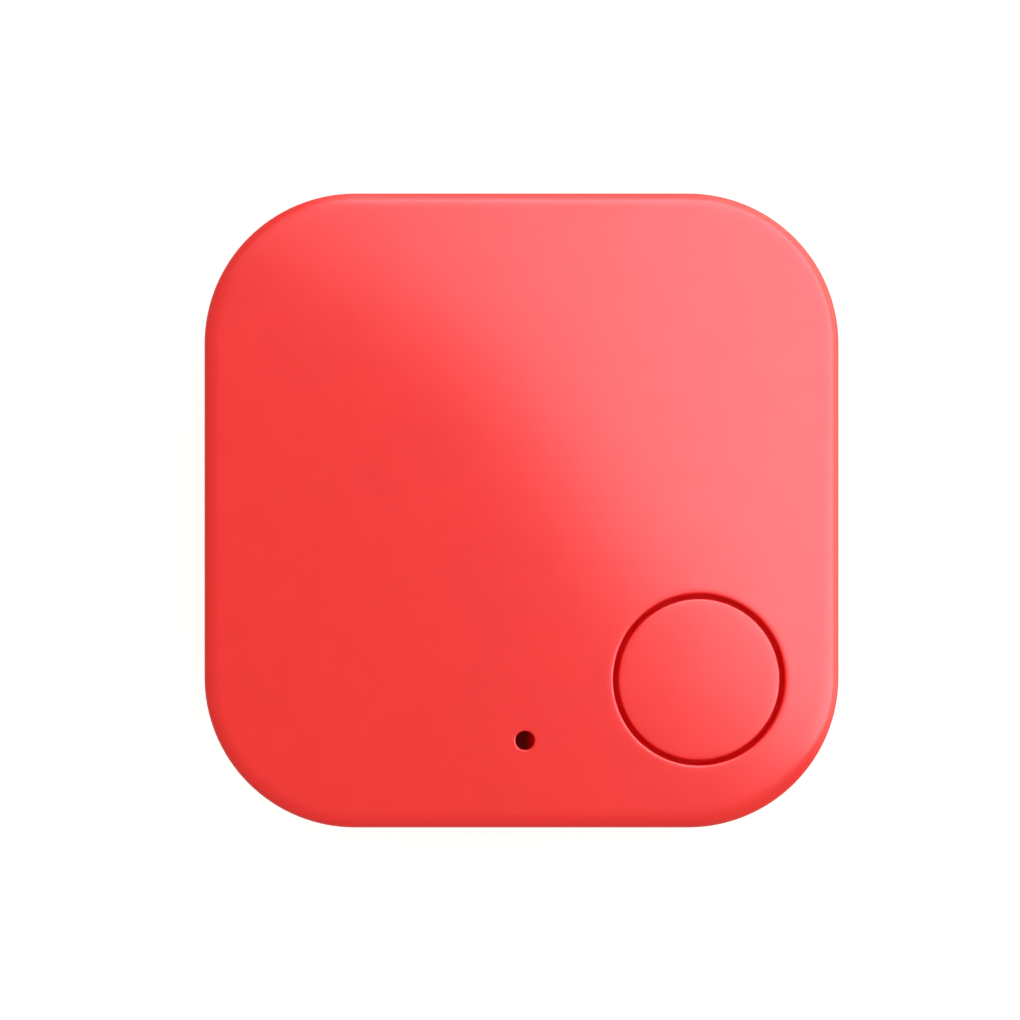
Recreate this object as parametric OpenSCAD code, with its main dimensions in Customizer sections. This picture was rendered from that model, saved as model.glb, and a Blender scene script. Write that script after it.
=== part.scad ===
// Square Bluetooth tracker tag. It lies on its back: the origin is the centre of the back face,
// +Z comes out of the front face, +Y points to the top edge and +X to the button's side.
// Two press-fit shells hold a coin cell, a circuit board, a push button and a piezo sounder.

/* [Case] */
// Width of the case, side to side
body_w = 36; // [35:0.5:46]
// Length of the case, bottom edge to top edge
body_l = 36; // [36:0.5:46]
// Thickness of the closed case
body_h = 6.2; // [6:0.1:8]
// Radius of the corners, seen from the front
corner_r = 8.54; // [7.2:0.1:10.4]
// Thickness of the front face
front_t = 1.1; // [0.9:0.05:1.35]
// Thickness of the back face
back_t = 0.9; // [0.7:0.05:1.1]
// Thickness of the side walls
side_t = 1.3; // [1.1:0.05:1.6]
// Round on the edge of the front face
front_round = 0.9; // [0.5:0.05:1]
// Round on the edge of the back face
back_round = 1.1; // [0.5:0.05:1.5]
// Height of the seam between the shells
seam_z = 3.1; // [2.9:0.05:3.4]
// Open line left between the shells at the seam
seam_gap = 0.12; // [0.05:0.01:0.2]

/* [Lip, pins and pry slot] */
// Thickness of the lip that stands up inside the seam
lip_t = 0.55; // [0.4:0.05:0.6]
// Height of that lip above the seam
lip_h = 0.8; // [0.5:0.05:1]
// Clearance between the lip and the front shell
lip_gap = 0.05; // [0.03:0.01:0.1]
// Radius of the press-fit pins
pin_r = 0.7; // [0.6:0.05:0.9]
// Clearance round a pin in its boss
pin_gap = 0.01; // [0.01:0.01:0.05]
// Wall of the boss that takes a pin
boss_t = 0.5; // [0.4:0.05:0.7]
// Wall of the collar that reaches over each boss
collar_t = 0.55; // [0.4:0.05:0.7]
// Width of the pry slot in the top edge
pry_w = 5; // [3:0.5:8]
// Height of the pry slot
pry_h = 0.6; // [0.4:0.05:0.8]

/* [Button] */
// Diameter of the button cap
button_d = 9.14; // [7:0.05:10.4]
// Open gap round the cap
button_gap = 0.29; // [0.15:0.01:0.5]
// Distance of the button's centre from the right edge
button_from_side = 7.96; // [7.8:0.02:10]
// Distance of the button's centre from the bottom edge
button_from_bottom = 8.44; // [8:0.02:10]
// Travel of the button
button_travel = 0.25; // [0.15:0.05:0.35]
// Round on the cap's top edge
cap_round = 0.14; // [0.05:0.01:0.3]
// Depth of the dish in the cap's face
cap_dish = 0.03; // [0.02:0.01:0.12]
// Round on the edge of the button opening
opening_round = 0.12; // [0.05:0.01:0.3]
// How far the cap's flange reaches under the front face
flange_reach = 0.5; // [0.4:0.05:0.7]
// Thickness of the cap's flange
flange_t = 0.5; // [0.4:0.05:0.6]
// Thickness of the cap's cored-out face and skirt
cap_t = 0.8; // [0.6:0.05:1]

/* [Sounder] */
// Diameter of the sound port
port_d = 1.1; // [0.8:0.05:1.6]
// Sideways place of the port from the centre line
port_x = 0.2; // [-1:0.1:1]
// Distance of the port from the bottom edge
port_from_bottom = 4.98; // [4.5:0.02:6]
// Diameter of the sounder's brass plate
piezo_d = 12; // [11:0.1:12.4]
// Diameter of the ceramic on the brass plate
ceramic_d = 8.6; // [7:0.1:9]
// Thickness of the brass plate
piezo_t = 0.15; // [0.1:0.01:0.2]
// Depth of the air space above the plate
air_depth = 0.55; // [0.4:0.05:0.6]

/* [Coin cell] */
// Diameter of the coin cell
cell_d = 20; // [18:0.1:20.4]
// Thickness of the coin cell
cell_t = 3.2; // [2.6:0.1:3.3]
// Space under the cell for its contact
cell_lift = 0.3; // [0.25:0.05:0.4]
// Sheet thickness of the can and the cap
cell_sheet = 0.25; // [0.2:0.01:0.3]

/* [Circuit board] */
// Thickness of the board
board_t = 0.8; // [0.6:0.1:1]
// Height of the board's underside
board_z = 2; // [1.8:0.05:2.1]
// Clearance from the board's edge to the wall
board_gap = 0.3; // [0.2:0.05:0.5]
// Clearance from the board's cut-out to the cell
cutout_gap = 0.5; // [0.4:0.05:0.8]
// Width of the radio chip
chip_w = 5; // [4:0.1:5.4]
// Terminals on each side of the radio chip
chip_pins = 8; // [6:1:10]

/* [Hidden] */
$fn = 96;
over = 0.5;

// Case
face_z = body_h - front_t;
rim_z = seam_z + seam_gap;
inner_w = body_w - 2 * side_t;
inner_l = body_l - 2 * side_t;
inner_r = corner_r - side_t;
lip_top = seam_z + lip_h;

// Bosses: in three corners of the inside, and one between the sounder and the button
boss_r = pin_r + pin_gap + boss_t;
collar_gap = 0.1;
collar_r = boss_r + collar_gap + collar_t;
boss_wall_gap = 0.3;
boss_shift = (inner_r - collar_r - boss_wall_gap) / sqrt(2);
boss_x = inner_w / 2 - inner_r + boss_shift;
boss_y = inner_l / 2 - inner_r + boss_shift;
boss_top = board_z + board_t + 0.8;
boss_floor = back_t + 0.3;
pin_end = boss_floor + 0.4;
board_press = 0.04;

// Button
button_r = button_d / 2;
button_x = body_w / 2 - button_from_side;
button_y = button_from_bottom - body_l / 2;
opening_r = button_r + button_gap;
flange_r = opening_r + flange_reach;
flange_gap = 0.04;
guide_r = flange_r + flange_gap;
guide_t = 0.55;
guide_depth = flange_t + flange_gap + button_travel;
flange_top = face_z - flange_gap;
flange_z = flange_top - flange_t;
dish_r = button_r - cap_round;
dish_sphere = (dish_r * dish_r + cap_dish * cap_dish) / (2 * cap_dish);

// Sounder
port_y = port_from_bottom - body_l / 2;
piezo_r = piezo_d / 2;
seat_r = piezo_r + 0.3;
seat_bore = piezo_r - 0.5;
port_offset = 3.4;
piezo_x = port_x - port_offset;
piezo_y = seat_r + 0.3 - inner_l / 2;
port_round = 0.08;
screen_t = 0.08;
screen_gap = 0.07;
screen_r = seat_bore - norm([port_offset, piezo_y - port_y]) - screen_gap;
adhesive_t = 0.05;
seat_z = face_z - air_depth;
plate_z = seat_z - adhesive_t - piezo_t;
ceramic_t = 0.15;
ceramic_z = plate_z - ceramic_t;

// Fourth boss, by the bottom wall, whose collar stands just outside the button's flange
mid_boss_y = collar_r + collar_gap - inner_l / 2;
mid_reach = guide_r + collar_r + collar_gap;
mid_boss_x = button_x - sqrt(pow(mid_reach, 2) - pow(button_y - mid_boss_y, 2));
bosses = [[-boss_x, boss_y], [boss_x, boss_y], [-boss_x, -boss_y], [mid_boss_x, mid_boss_y]];

// Coin cell, with its negative side down
cell_r = cell_d / 2;
cell_from_wall = 0.8;
cell_y = inner_l / 2 - cell_from_wall - cell_r;
cradle_gap = 0.15;
cradle_t = 0.6;
cell_z = back_t + cell_lift;
cell_top = cell_z + cell_t;
cap_r = cell_r - 1.15;
crimp_r = cell_r - 0.8;
crimp_z = cell_z + 0.15;
can_edge = 0.6;
cap_wall = 1.1;
foot_w = 0.5;
foot_h = 0.5;
gasket_top = cell_z + cap_wall + foot_h;
lithium_z = cell_z + cell_sheet;
lithium_t = 0.75;
separator_z = lithium_z + lithium_t;
separator_t = 0.15;
cathode_z = separator_z + separator_t;
pad_r = 0.65 * cell_r;

// Circuit board
board_w = inner_w - 2 * board_gap;
board_l = inner_l - 2 * board_gap;
board_r = inner_r - board_gap;
board_top = board_z + board_t;
cutout_r = cell_r + cutout_gap;
mouth_w = 1.1 * cell_r;
copper_t = 0.04;

// Parts on the board: the radio chip in the left arm, and the rest placed from it, from the sounder
// or from the right arm. Capacitors and resistors stand in rows, and crystals are [x, y, width, length]
chip_x = 3.6 - board_w / 2;
chip_y = cell_y - 9.4;
chip_t = 0.8;
chip_pitch = 0.5;
crystals = [[chip_x + 0.3, chip_y - 4, 2, 1.6], [chip_x + 3.6, chip_y - 4.2, 2, 1.2]];
crystal_base = 0.35;
crystal_lid = 0.2;
part_l = 1;
part_w = 0.5;
capacitor_h = 0.5;
resistor_h = 0.35;
end_l = 0.25;
row_step = 1.2;
arm_x = board_w / 2 - 3;
capacitors = [
    for (i = [0 : 2]) [chip_x + 3.7, chip_y + 1.6 - row_step * i],
    for (i = [0 : 3]) [chip_x - 1.8 + row_step * i, chip_y + 3.4],
    for (i = [0 : 3]) [arm_x, cell_y - 3.6 - row_step * i]
];
resistors = [
    for (i = [0 : 2]) [piezo_x - 3.4 + 1.5 * row_step * i, piezo_y + 2.4],
    for (i = [0 : 1]) [arm_x - 1.8, cell_y - 4.8 - row_step * i]
];
inductor_x = piezo_x + 3.2;
inductor_y = piezo_y + 3;
inductor_w = 3;
inductor_h = 1.1;
transistor_x = piezo_x - 4.2;
transistor_y = piezo_y - 3.4;
transistor_h = 0.95;

// Switch under the button
switch_w = 5.2;
switch_h = 1.2;
sheet_t = 0.15;
plunger_r = 1.05;
plunger_head = 1.5;
plunger_top = board_top + 1.5;
well_r = 2;
dome_r = 1.8;
dome_rise = 0.35;
dome_t = 0.07;
dome_z = board_top + 0.3;
dome_sphere = (dome_r * dome_r + dome_rise * dome_rise) / (2 * dome_rise);
push_gap = 0.02;
nub_r = 1.2;
post_r = 1.6;

// Contacts
contact_t = 0.15;
finger_w = 2.6;
finger_angles = [2, 247];
finger_gap = 0.05;
finger_top = min(board_top + 1.2, ceramic_z - 0.15);
strip_w = 4;
strip_gap = 0.4;
spring_w = 1.2;

// ---- Shapes used more than once ----

// Flat outline with round corners
module rounded_rect(w, l, r) {
    square([w - 2 * r, l], center = true);
    square([w, l - 2 * r], center = true);
    for (sx = [-1, 1], sy = [-1, 1])
        translate([sx * (w / 2 - r), sy * (l / 2 - r)]) circle(r);
}

// Upright block with round corners, from z0 to z1
module block(w, l, r, z0, z1) {
    translate([0, 0, z0]) linear_extrude(z1 - z0) rounded_rect(w, l, r);
}

// Section of the case from a corner's centre out to its skin
module case_section() {
    mid = body_h / 2;
    square([corner_r - back_round, mid]);
    translate([0, mid]) square([corner_r - front_round, mid]);
    translate([0, back_round]) square([corner_r, body_h - back_round - front_round]);
    translate([corner_r - back_round, back_round]) circle(back_round);
    translate([corner_r - front_round, body_h - front_round]) circle(front_round);
}

// Outer form of the closed case
module case_form() {
    core_w = body_w - 2 * corner_r;
    core_l = body_l - 2 * corner_r;
    translate([-core_w / 2, -core_l / 2, 0]) cube([core_w, core_l, body_h]);
    for (i = [0 : 3]) {
        along = i % 2 == 0 ? core_l : core_w;
        out = i % 2 == 0 ? core_w / 2 : core_l / 2;
        rotate([0, 0, 90 * i]) {
            translate([out, 0, 0]) rotate([90, 0, 0])
                linear_extrude(along, center = true) case_section();
            translate([out, along / 2, 0]) rotate_extrude(angle = 90) case_section();
        }
    }
}

// Tool that cuts a round hole down through z_top, with a rounded mouth
module round_hole(r, mouth, z_top, depth) {
    translate([0, 0, z_top - depth]) rotate_extrude() difference() {
        square([r + mouth, depth + over]);
        translate([r, -over]) square([mouth + over, depth - mouth + over]);
        translate([r + mouth, depth - mouth]) circle(mouth);
    }
}

// Upright tube
module tube(r_out, r_in, z0, z1) {
    translate([0, 0, z0]) difference() {
        cylinder(r = r_out, h = z1 - z0);
        translate([0, 0, -over]) cylinder(r = r_in, h = z1 - z0 + 2 * over);
    }
}

// Upright disc
module disc(r, z0, z1) {
    translate([0, 0, z0]) cylinder(r = r, h = z1 - z0);
}

// Box on the board, centred on x and y
module chip(w, l, z0, h) {
    translate([-w / 2, -l / 2, z0]) cube([w, l, h]);
}

// Bent sheet strip: a side view drawn in length and height, as wide as w
module bent_strip(w) {
    rotate([90, 0, 0]) linear_extrude(w, center = true) children();
}

// ---- Case ----

module back_shell() {
    color("firebrick") difference() {
        union() {
            difference() {
                union() {
                    intersection() {
                        case_form();
                        chip(body_w, body_l, 0, seam_z);
                    }
                    block(inner_w + 2 * lip_t, inner_l + 2 * lip_t, inner_r + lip_t,
                        seam_z - over, lip_top);
                }
                block(inner_w, inner_l, inner_r, back_t, body_h);
            }
            for (b = bosses) translate([b.x, b.y, 0]) {
                disc(collar_r, back_t - over, board_z);
                disc(boss_r, board_z - over, boss_top);
            }
            // Post that backs the board under the button
            translate([button_x, button_y, 0]) disc(post_r, back_t - over, board_z);
            // Cradle round the coin cell, open where the negative contact passes
            translate([0, cell_y, 0]) difference() {
                tube(cell_r + cradle_gap + cradle_t, cell_r + cradle_gap, back_t - over, board_z - 0.1);
                translate([-strip_w / 2 - strip_gap, -cell_r - 1.5, back_t])
                    cube([strip_w + 2 * strip_gap, 3, board_z]);
            }
        }
        for (b = bosses) translate([b.x, b.y, 0]) disc(pin_r + pin_gap, boss_floor, boss_top + over);
        // Pry slot in the top edge
        translate([-pry_w / 2, inner_l / 2 + lip_t, seam_z - pry_h]) cube([pry_w, side_t, pry_h + over]);
    }
}

module front_shell() {
    color("red") difference() {
        union() {
            difference() {
                intersection() {
                    case_form();
                    chip(body_w, body_l, rim_z, body_h - rim_z);
                }
                block(inner_w, inner_l, inner_r, 0, face_z);
                block(inner_w + 2 * (lip_t + lip_gap), inner_l + 2 * (lip_t + lip_gap),
                    inner_r + lip_t + lip_gap, 0, lip_top + lip_gap);
            }
            // Collars press the board down, pins go into the bosses
            for (b = bosses) translate([b.x, b.y, 0]) {
                tube(collar_r, boss_r + collar_gap, board_top + board_press, face_z + over / 2);
                disc(pin_r, pin_end, face_z + over / 2);
            }
            // Guide round the button's flange, and the ring that the sounder is glued to
            translate([button_x, button_y, 0])
                tube(guide_r + guide_t, guide_r, face_z - guide_depth, face_z + over / 2);
            translate([piezo_x, piezo_y, 0]) tube(seat_r, seat_bore, seat_z, face_z + over / 2);
        }
        translate([button_x, button_y, 0]) round_hole(opening_r, opening_round, body_h, front_t + over);
        translate([port_x, port_y, 0]) round_hole(port_d / 2, port_round, body_h, front_t + over);
    }
}

module foam_pad() {
    color("dimgray") translate([0, cell_y, 0]) disc(pad_r, cell_top, face_z);
}

// Woven dust screen glued behind the sound port, as wide as the sounder's seat leaves room for
module port_screen() {
    color("#202022") translate([port_x, port_y, 0]) disc(screen_r, face_z - screen_t, face_z);
}

// ---- Button ----

module button_cap() {
    top = body_h - flange_z;
    nub_z = plunger_top + push_gap - flange_z;
    color("red") translate([button_x, button_y, flange_z]) rotate_extrude() {
        difference() {
            union() {
                square([button_r - cap_round, top]);
                square([button_r, top - cap_round]);
                square([flange_r, flange_t]);
                translate([button_r - cap_round, top - cap_round]) circle(cap_round);
            }
            // Core, open from below
            translate([-over, -over]) square([button_r - cap_t + over, top - cap_t + over]);
            // Dish for the fingertip
            translate([0, top - cap_dish + dish_sphere]) circle(dish_sphere, $fn = 1440);
        }
        translate([0, nub_z]) square([nub_r, top - cap_t - nub_z + cap_round]);
    }
}

// ---- Sounder ----

module piezo_adhesive() {
    color("ivory") translate([piezo_x, piezo_y, 0]) tube(piezo_r, seat_bore, seat_z - adhesive_t, seat_z);
}

module piezo_plate() {
    color("goldenrod") translate([piezo_x, piezo_y, 0]) disc(piezo_r, plate_z, plate_z + piezo_t);
}

module piezo_ceramic() {
    color("gainsboro") translate([piezo_x, piezo_y, 0]) disc(ceramic_d / 2, ceramic_z, plate_z);
}

// Side view of a leaf spring that stands on the board and reaches up to z1
module leaf_side(z1) {
    t = contact_t;
    top = z1 - board_top;
    polygon([
        [0, 0], [2, 0], [2, t], [1, t], [2.9, top - t],
        [3.4, top - t], [3.4, top], [2.7, top], [0.5, t], [0, t]
    ]);
}

module piezo_springs() {
    color("silver") {
        translate([piezo_x - 2.4, piezo_y - 0.6, board_top])
            bent_strip(spring_w) leaf_side(ceramic_z - push_gap);
        translate([piezo_x + 1.6, piezo_y - 2.6, board_top])
            bent_strip(spring_w) leaf_side(plate_z - push_gap);
    }
}

// ---- Circuit board ----

module circuit_board() {
    color("darkgreen") difference() {
        block(board_w, board_l, board_r, board_z, board_top);
        translate([0, cell_y, 0]) disc(cutout_r, board_z - over, board_top + over);
        translate([-mouth_w / 2, cell_y, board_z - over]) cube([mouth_w, body_l, board_t + 2 * over]);
        for (b = bosses) translate([b.x, b.y, 0])
            disc(boss_r + collar_gap, board_z - over, board_top + over);
    }
}

// Meander antenna on the left arm of the board
module antenna_trace() {
    line = 0.35;
    pitch = 1;
    width = 3.4;
    turns = 4;
    x0 = -board_w / 2 + 1;
    y0 = cell_y - 3.6;
    color("peru") translate([x0, y0, board_top]) {
        for (i = [0 : 2 * turns - 1]) translate([0, i * pitch, 0]) cube([width, line, copper_t]);
        for (i = [0 : 2 * turns - 2])
            translate([i % 2 == 0 ? width - line : 0, i * pitch, 0]) cube([line, pitch + line, copper_t]);
        translate([0, -1.1, 0]) cube([line, 1.1 + line, copper_t]);
    }
}

module test_pads() {
    color("gold") for (i = [0 : 4])
        translate([arm_x + 1.3, cell_y + 4.4 - 1.6 * i, 0]) disc(0.5, board_top, board_top + copper_t);
}

module radio_chip() {
    color("#202022") translate([chip_x, chip_y, 0]) difference() {
        chip(chip_w, chip_w, board_top + copper_t, chip_t);
        // Moulded mark at the first terminal's corner
        translate([-chip_w / 2 + 0.7, chip_w / 2 - 0.7, 0])
            disc(0.25, board_top + chip_t, board_top + chip_t + over);
    }
}

module chip_terminals() {
    pad = chip_pitch / 2;
    color("silver") translate([chip_x, chip_y, board_top]) for (side = [0 : 3], i = [0 : chip_pins - 1])
        rotate([0, 0, 90 * side])
            translate([(i - (chip_pins - 1) / 2) * chip_pitch - pad / 2, chip_w / 2 - 0.35, 0])
                cube([pad, 0.5, copper_t]);
}

module crystal_bases() {
    color("khaki") for (c = crystals) translate([c[0], c[1], 0]) chip(c[2], c[3], board_top, crystal_base);
}

module crystal_lids() {
    color("silver") for (c = crystals) translate([c[0], c[1], 0])
        chip(c[2] - 0.2, c[3] - 0.2, board_top + crystal_base, crystal_lid);
}

// Middle of each small two-ended part, between its end caps
module small_bodies(places, h) {
    for (p = places) translate([p.x, p.y, 0]) chip(part_l - 2 * end_l, part_w, board_top, h);
}

module capacitor_bodies() {
    color("tan") small_bodies(capacitors, capacitor_h);
}

module resistor_bodies() {
    color("#202022") small_bodies(resistors, resistor_h);
}

// Metal ends of those parts
module small_ends(places, h) {
    for (p = places, s = [-1, 1])
        translate([p.x + s * (part_l - end_l) / 2, p.y, 0]) chip(end_l, part_w, board_top, h);
}

module end_caps() {
    color("lightgray") {
        small_ends(capacitors, capacitor_h);
        small_ends(resistors, resistor_h);
    }
}

module inductor_core() {
    color("#404044") translate([inductor_x, inductor_y, 0]) {
        chip(inductor_w, inductor_w, board_top, 0.3);
        disc(0.8, board_top, board_top + inductor_h);
        disc(inductor_w / 2 - 0.1, board_top + inductor_h - 0.25, board_top + inductor_h);
    }
}

module inductor_winding() {
    color("chocolate") translate([inductor_x, inductor_y, 0])
        tube(inductor_w / 2 - 0.25, 0.8, board_top + 0.3, board_top + inductor_h - 0.25);
}

module transistor_body() {
    color("#202022") translate([transistor_x, transistor_y, 0])
        chip(2.9, 1.3, board_top + 0.1, transistor_h - 0.1);
}

// Gull-wing lead, drawn from the body outwards
module lead_side() {
    t = 0.12;
    z = 0.45;
    polygon([[0, z], [0.35, z], [0.45, 0], [0.8, 0], [0.8, t], [0.55, t], [0.44, z + t], [0, z + t]]);
}

module transistor_leads() {
    color("silver") translate([transistor_x, transistor_y, board_top]) {
        for (x = [-0.95, 0.95]) translate([x, -0.65, 0]) rotate([0, 0, -90]) bent_strip(0.4) lead_side();
        translate([0, 0.65, 0]) rotate([0, 0, 90]) bent_strip(0.4) lead_side();
    }
}

// ---- Switch ----

module switch_housing() {
    color("#202022") translate([button_x, button_y, 0]) difference() {
        chip(switch_w, switch_w, board_top, switch_h - sheet_t);
        disc(well_r, dome_z, board_top + switch_h);
    }
}

module switch_terminals() {
    color("silver") translate([button_x, button_y, 0]) for (sx = [-1, 1], sy = [-1, 1])
        translate([sx * (switch_w / 2 + 0.35), sy * 1.85, 0]) chip(0.7, 0.7, board_top, sheet_t);
}

module switch_dome() {
    color("silver") translate([button_x, button_y, dome_z + dome_rise - dome_sphere]) rotate_extrude()
        intersection() {
            difference() {
                circle(dome_sphere);
                circle(dome_sphere - dome_t);
            }
            translate([0, dome_sphere - dome_rise]) square([dome_r, dome_rise + over]);
        }
}

module switch_plunger() {
    head_z = dome_z + dome_rise + push_gap;
    color("ivory") translate([button_x, button_y, 0]) {
        disc(plunger_head, head_z, board_top + switch_h - sheet_t - flange_gap);
        disc(plunger_r, head_z, plunger_top);
    }
}

module switch_cover() {
    z = board_top + switch_h - sheet_t;
    color("silver") translate([button_x, button_y, 0]) difference() {
        union() {
            chip(switch_w, switch_w, z, sheet_t);
            for (s = [-1, 1]) translate([0, s * (switch_w + sheet_t) / 2, 0])
                chip(2.4, sheet_t, board_top, switch_h);
        }
        disc(plunger_r + 0.1, z - over, z + over);
    }
}

// ---- Contacts of the coin cell ----

// Side view of a finger: foot on the board, riser, and a tongue that leans on the can
module finger_side() {
    t = contact_t;
    top = finger_top - board_top;
    polygon([
        [2.6, 0], [0.8, 0], [0.8, top - t], [0.5, top - t], [t + 0.12, 0.55], [t + 0.3, 0.3],
        [t + 0.16, 0.24], [0, 0.55], [0.4, top], [0.8 + t, top], [0.8 + t, t], [2.6, t]
    ]);
}

module positive_contacts() {
    color("silver") for (a = finger_angles) translate([0, cell_y, board_top]) rotate([0, 0, a])
        translate([cell_r + finger_gap, 0, 0]) bent_strip(finger_w) finger_side();
}

module negative_contact() {
    t = contact_t;
    foot = cell_y - cutout_r - 2.4;
    bend = cell_y - cell_r - 0.3;
    low = back_t + 0.03;
    color("silver") rotate([0, 0, 90]) bent_strip(strip_w) polygon([
        [foot, board_z - t], [bend - 0.6, board_z - t], [bend, low], [cell_y - 3, low],
        [cell_y + 2, cell_z - t], [cell_y + 3.5, cell_z - t], [cell_y + 3.5, cell_z],
        [cell_y + 1.9, cell_z], [cell_y - 3.1, low + t], [bend + 0.1, low + t],
        [bend - 0.5, board_z], [foot, board_z]
    ]);
}

// ---- Coin cell ----

module cell_can() {
    h = cell_top - crimp_z;
    color("silver") translate([0, cell_y, crimp_z]) rotate_extrude() difference() {
        union() {
            square([cell_r - can_edge, h]);
            square([cell_r, h - can_edge]);
            translate([cell_r - can_edge, h - can_edge]) circle(can_edge);
        }
        // Inside, stepped under the rounded edge
        translate([-over, cell_sheet]) square([cell_r - cell_sheet + over, h - cell_sheet - can_edge]);
        translate([-over, cell_sheet]) square([cell_r - can_edge + over, h - 2 * cell_sheet]);
        translate([-over, -over]) square([crimp_r + over, 2 * over]);
    }
}

module cell_gasket() {
    color("lightgray") translate([0, cell_y, 0]) {
        tube(cell_r - cell_sheet, cap_r, crimp_z + cell_sheet, gasket_top);
        tube(cap_r + 0.1, cap_r - foot_w, cell_z + cap_wall, gasket_top);
    }
}

module cell_cap() {
    color("gainsboro") translate([0, cell_y, 0]) difference() {
        disc(cap_r, cell_z, cell_z + cap_wall);
        disc(cap_r - cell_sheet, cell_z + cell_sheet, cell_z + cap_wall + over);
    }
}

module cell_lithium() {
    color("gray") translate([0, cell_y, 0]) disc(cap_r - 0.7, lithium_z, separator_z);
}

module cell_separator() {
    color("white") translate([0, cell_y, 0]) disc(cap_r - 0.6, separator_z, cathode_z);
}

module cell_cathode() {
    color("black") translate([0, cell_y, 0]) disc(cap_r - 0.8, cathode_z, cell_top - cell_sheet);
}

back_shell();
front_shell();
button_cap();
foam_pad();
port_screen();
piezo_adhesive();
piezo_plate();
piezo_ceramic();
piezo_springs();
circuit_board();
antenna_trace();
test_pads();
radio_chip();
chip_terminals();
crystal_bases();
crystal_lids();
capacitor_bodies();
resistor_bodies();
end_caps();
inductor_core();
inductor_winding();
transistor_body();
transistor_leads();
switch_housing();
switch_terminals();
switch_dome();
switch_plunger();
switch_cover();
positive_contacts();
negative_contact();
cell_can();
cell_gasket();
cell_cap();
cell_cathode();
cell_separator();
cell_lithium();
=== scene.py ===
# Square tracker tag: a red satin case in two shells, with its cell, board, switch and sounder inside.
import math

import bmesh
import bpy
from mathutils import Matrix, Vector
from mathutils.noise import noise as noiseAt


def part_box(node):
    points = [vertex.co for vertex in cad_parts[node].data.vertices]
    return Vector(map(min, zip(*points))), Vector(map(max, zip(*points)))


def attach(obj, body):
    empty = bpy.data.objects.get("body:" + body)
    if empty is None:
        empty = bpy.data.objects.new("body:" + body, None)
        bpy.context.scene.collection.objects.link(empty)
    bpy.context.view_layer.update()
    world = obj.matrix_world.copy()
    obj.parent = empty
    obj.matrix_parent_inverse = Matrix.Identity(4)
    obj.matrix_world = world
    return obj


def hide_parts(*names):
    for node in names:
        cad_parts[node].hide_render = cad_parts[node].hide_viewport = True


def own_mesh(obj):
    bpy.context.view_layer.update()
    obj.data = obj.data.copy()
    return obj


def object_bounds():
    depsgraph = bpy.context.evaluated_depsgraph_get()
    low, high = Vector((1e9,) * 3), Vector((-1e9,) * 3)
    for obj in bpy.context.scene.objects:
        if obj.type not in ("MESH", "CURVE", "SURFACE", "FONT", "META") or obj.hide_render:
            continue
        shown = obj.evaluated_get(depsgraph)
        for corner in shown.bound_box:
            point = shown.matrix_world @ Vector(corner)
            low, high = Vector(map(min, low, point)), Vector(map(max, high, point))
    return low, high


mm = 0.001
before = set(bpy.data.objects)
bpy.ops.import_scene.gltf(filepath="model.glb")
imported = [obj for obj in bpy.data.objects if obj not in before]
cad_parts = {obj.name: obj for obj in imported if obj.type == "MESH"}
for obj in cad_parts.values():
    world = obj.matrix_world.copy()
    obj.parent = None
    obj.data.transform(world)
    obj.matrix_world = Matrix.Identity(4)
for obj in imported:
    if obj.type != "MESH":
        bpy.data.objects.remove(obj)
cadLow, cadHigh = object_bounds()
bpy.context.scene.view_settings.view_transform = "Standard"
print("frame loaded:", len(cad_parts), "nodes")


class Wire:
    # one socket of a node tree, so that maths on it reads as an expression
    def __init__(self, graph, socket):
        self.graph = graph
        self.socket = socket

    def maths(self, operation, first, second):
        return self.graph.node("ShaderNodeMath", {"operation": operation}, {0: first, 1: second})

    def __add__(self, other):
        return self.maths("ADD", self, other)

    def __radd__(self, other):
        return self.maths("ADD", other, self)

    def __sub__(self, other):
        return self.maths("SUBTRACT", self, other)

    def __rsub__(self, other):
        return self.maths("SUBTRACT", other, self)

    def __mul__(self, other):
        return self.maths("MULTIPLY", self, other)

    def __rmul__(self, other):
        return self.maths("MULTIPLY", other, self)

    def output(self, name):
        return Wire(self.graph, self.socket.node.outputs[name])


class Graph:
    # a node tree of either kind; node() takes a type, its settings, then values or links for its sockets
    def __init__(self, tree):
        self.tree = tree

    def node(self, kind, settings=None, sockets=None):
        made = self.tree.nodes.new(kind)
        for name, value in (settings or {}).items():
            if name == "stops":
                while len(made.color_ramp.elements) < len(value):
                    made.color_ramp.elements.new(1)
                for stop, (place, shade) in zip(made.color_ramp.elements, value):
                    stop.position = place
                    stop.color = (shade, shade, shade, 1)
            else:
                setattr(made, name, value)
        for name, value in (sockets or {}).items():
            for each in value if isinstance(value, list) else [value]:
                if isinstance(each, Wire):
                    self.tree.links.new(each.socket, made.inputs[name])
                else:
                    made.inputs[name].default_value = each
        return Wire(self, made.outputs[0]) if made.outputs else None


def boxOf(node):
    # a CAD node's low corner, high corner and middle, in mm
    low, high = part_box(node)
    return low / mm, high / mm, (low + high) / 2 / mm


finishes = {}


def emptyMaterial(name):
    made = bpy.data.materials.new(name)
    made.use_nodes = True
    made.node_tree.nodes.clear()
    return made, Graph(made.node_tree)


def finish(name, build, under=None, **values):
    # a material whose build function returns the changing inputs of its Principled shader;
    # under gives a mask and the inputs of a second one, which shows where the mask is 1
    made, graph = emptyMaterial(name)
    place = graph.node("ShaderNodeTexCoord").output("Object")
    shader = graph.node("ShaderNodeBsdfPrincipled", {}, {**values, **build(graph, place)})
    if under:
        mask, sockets = under(graph, place)
        second = graph.node("ShaderNodeBsdfPrincipled", {}, sockets)
        shader = graph.node("ShaderNodeMixShader", {}, {0: mask, 1: shader, 2: second})
    graph.node("ShaderNodeOutputMaterial", {}, {"Surface": shader})
    finishes[name] = made


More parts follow.
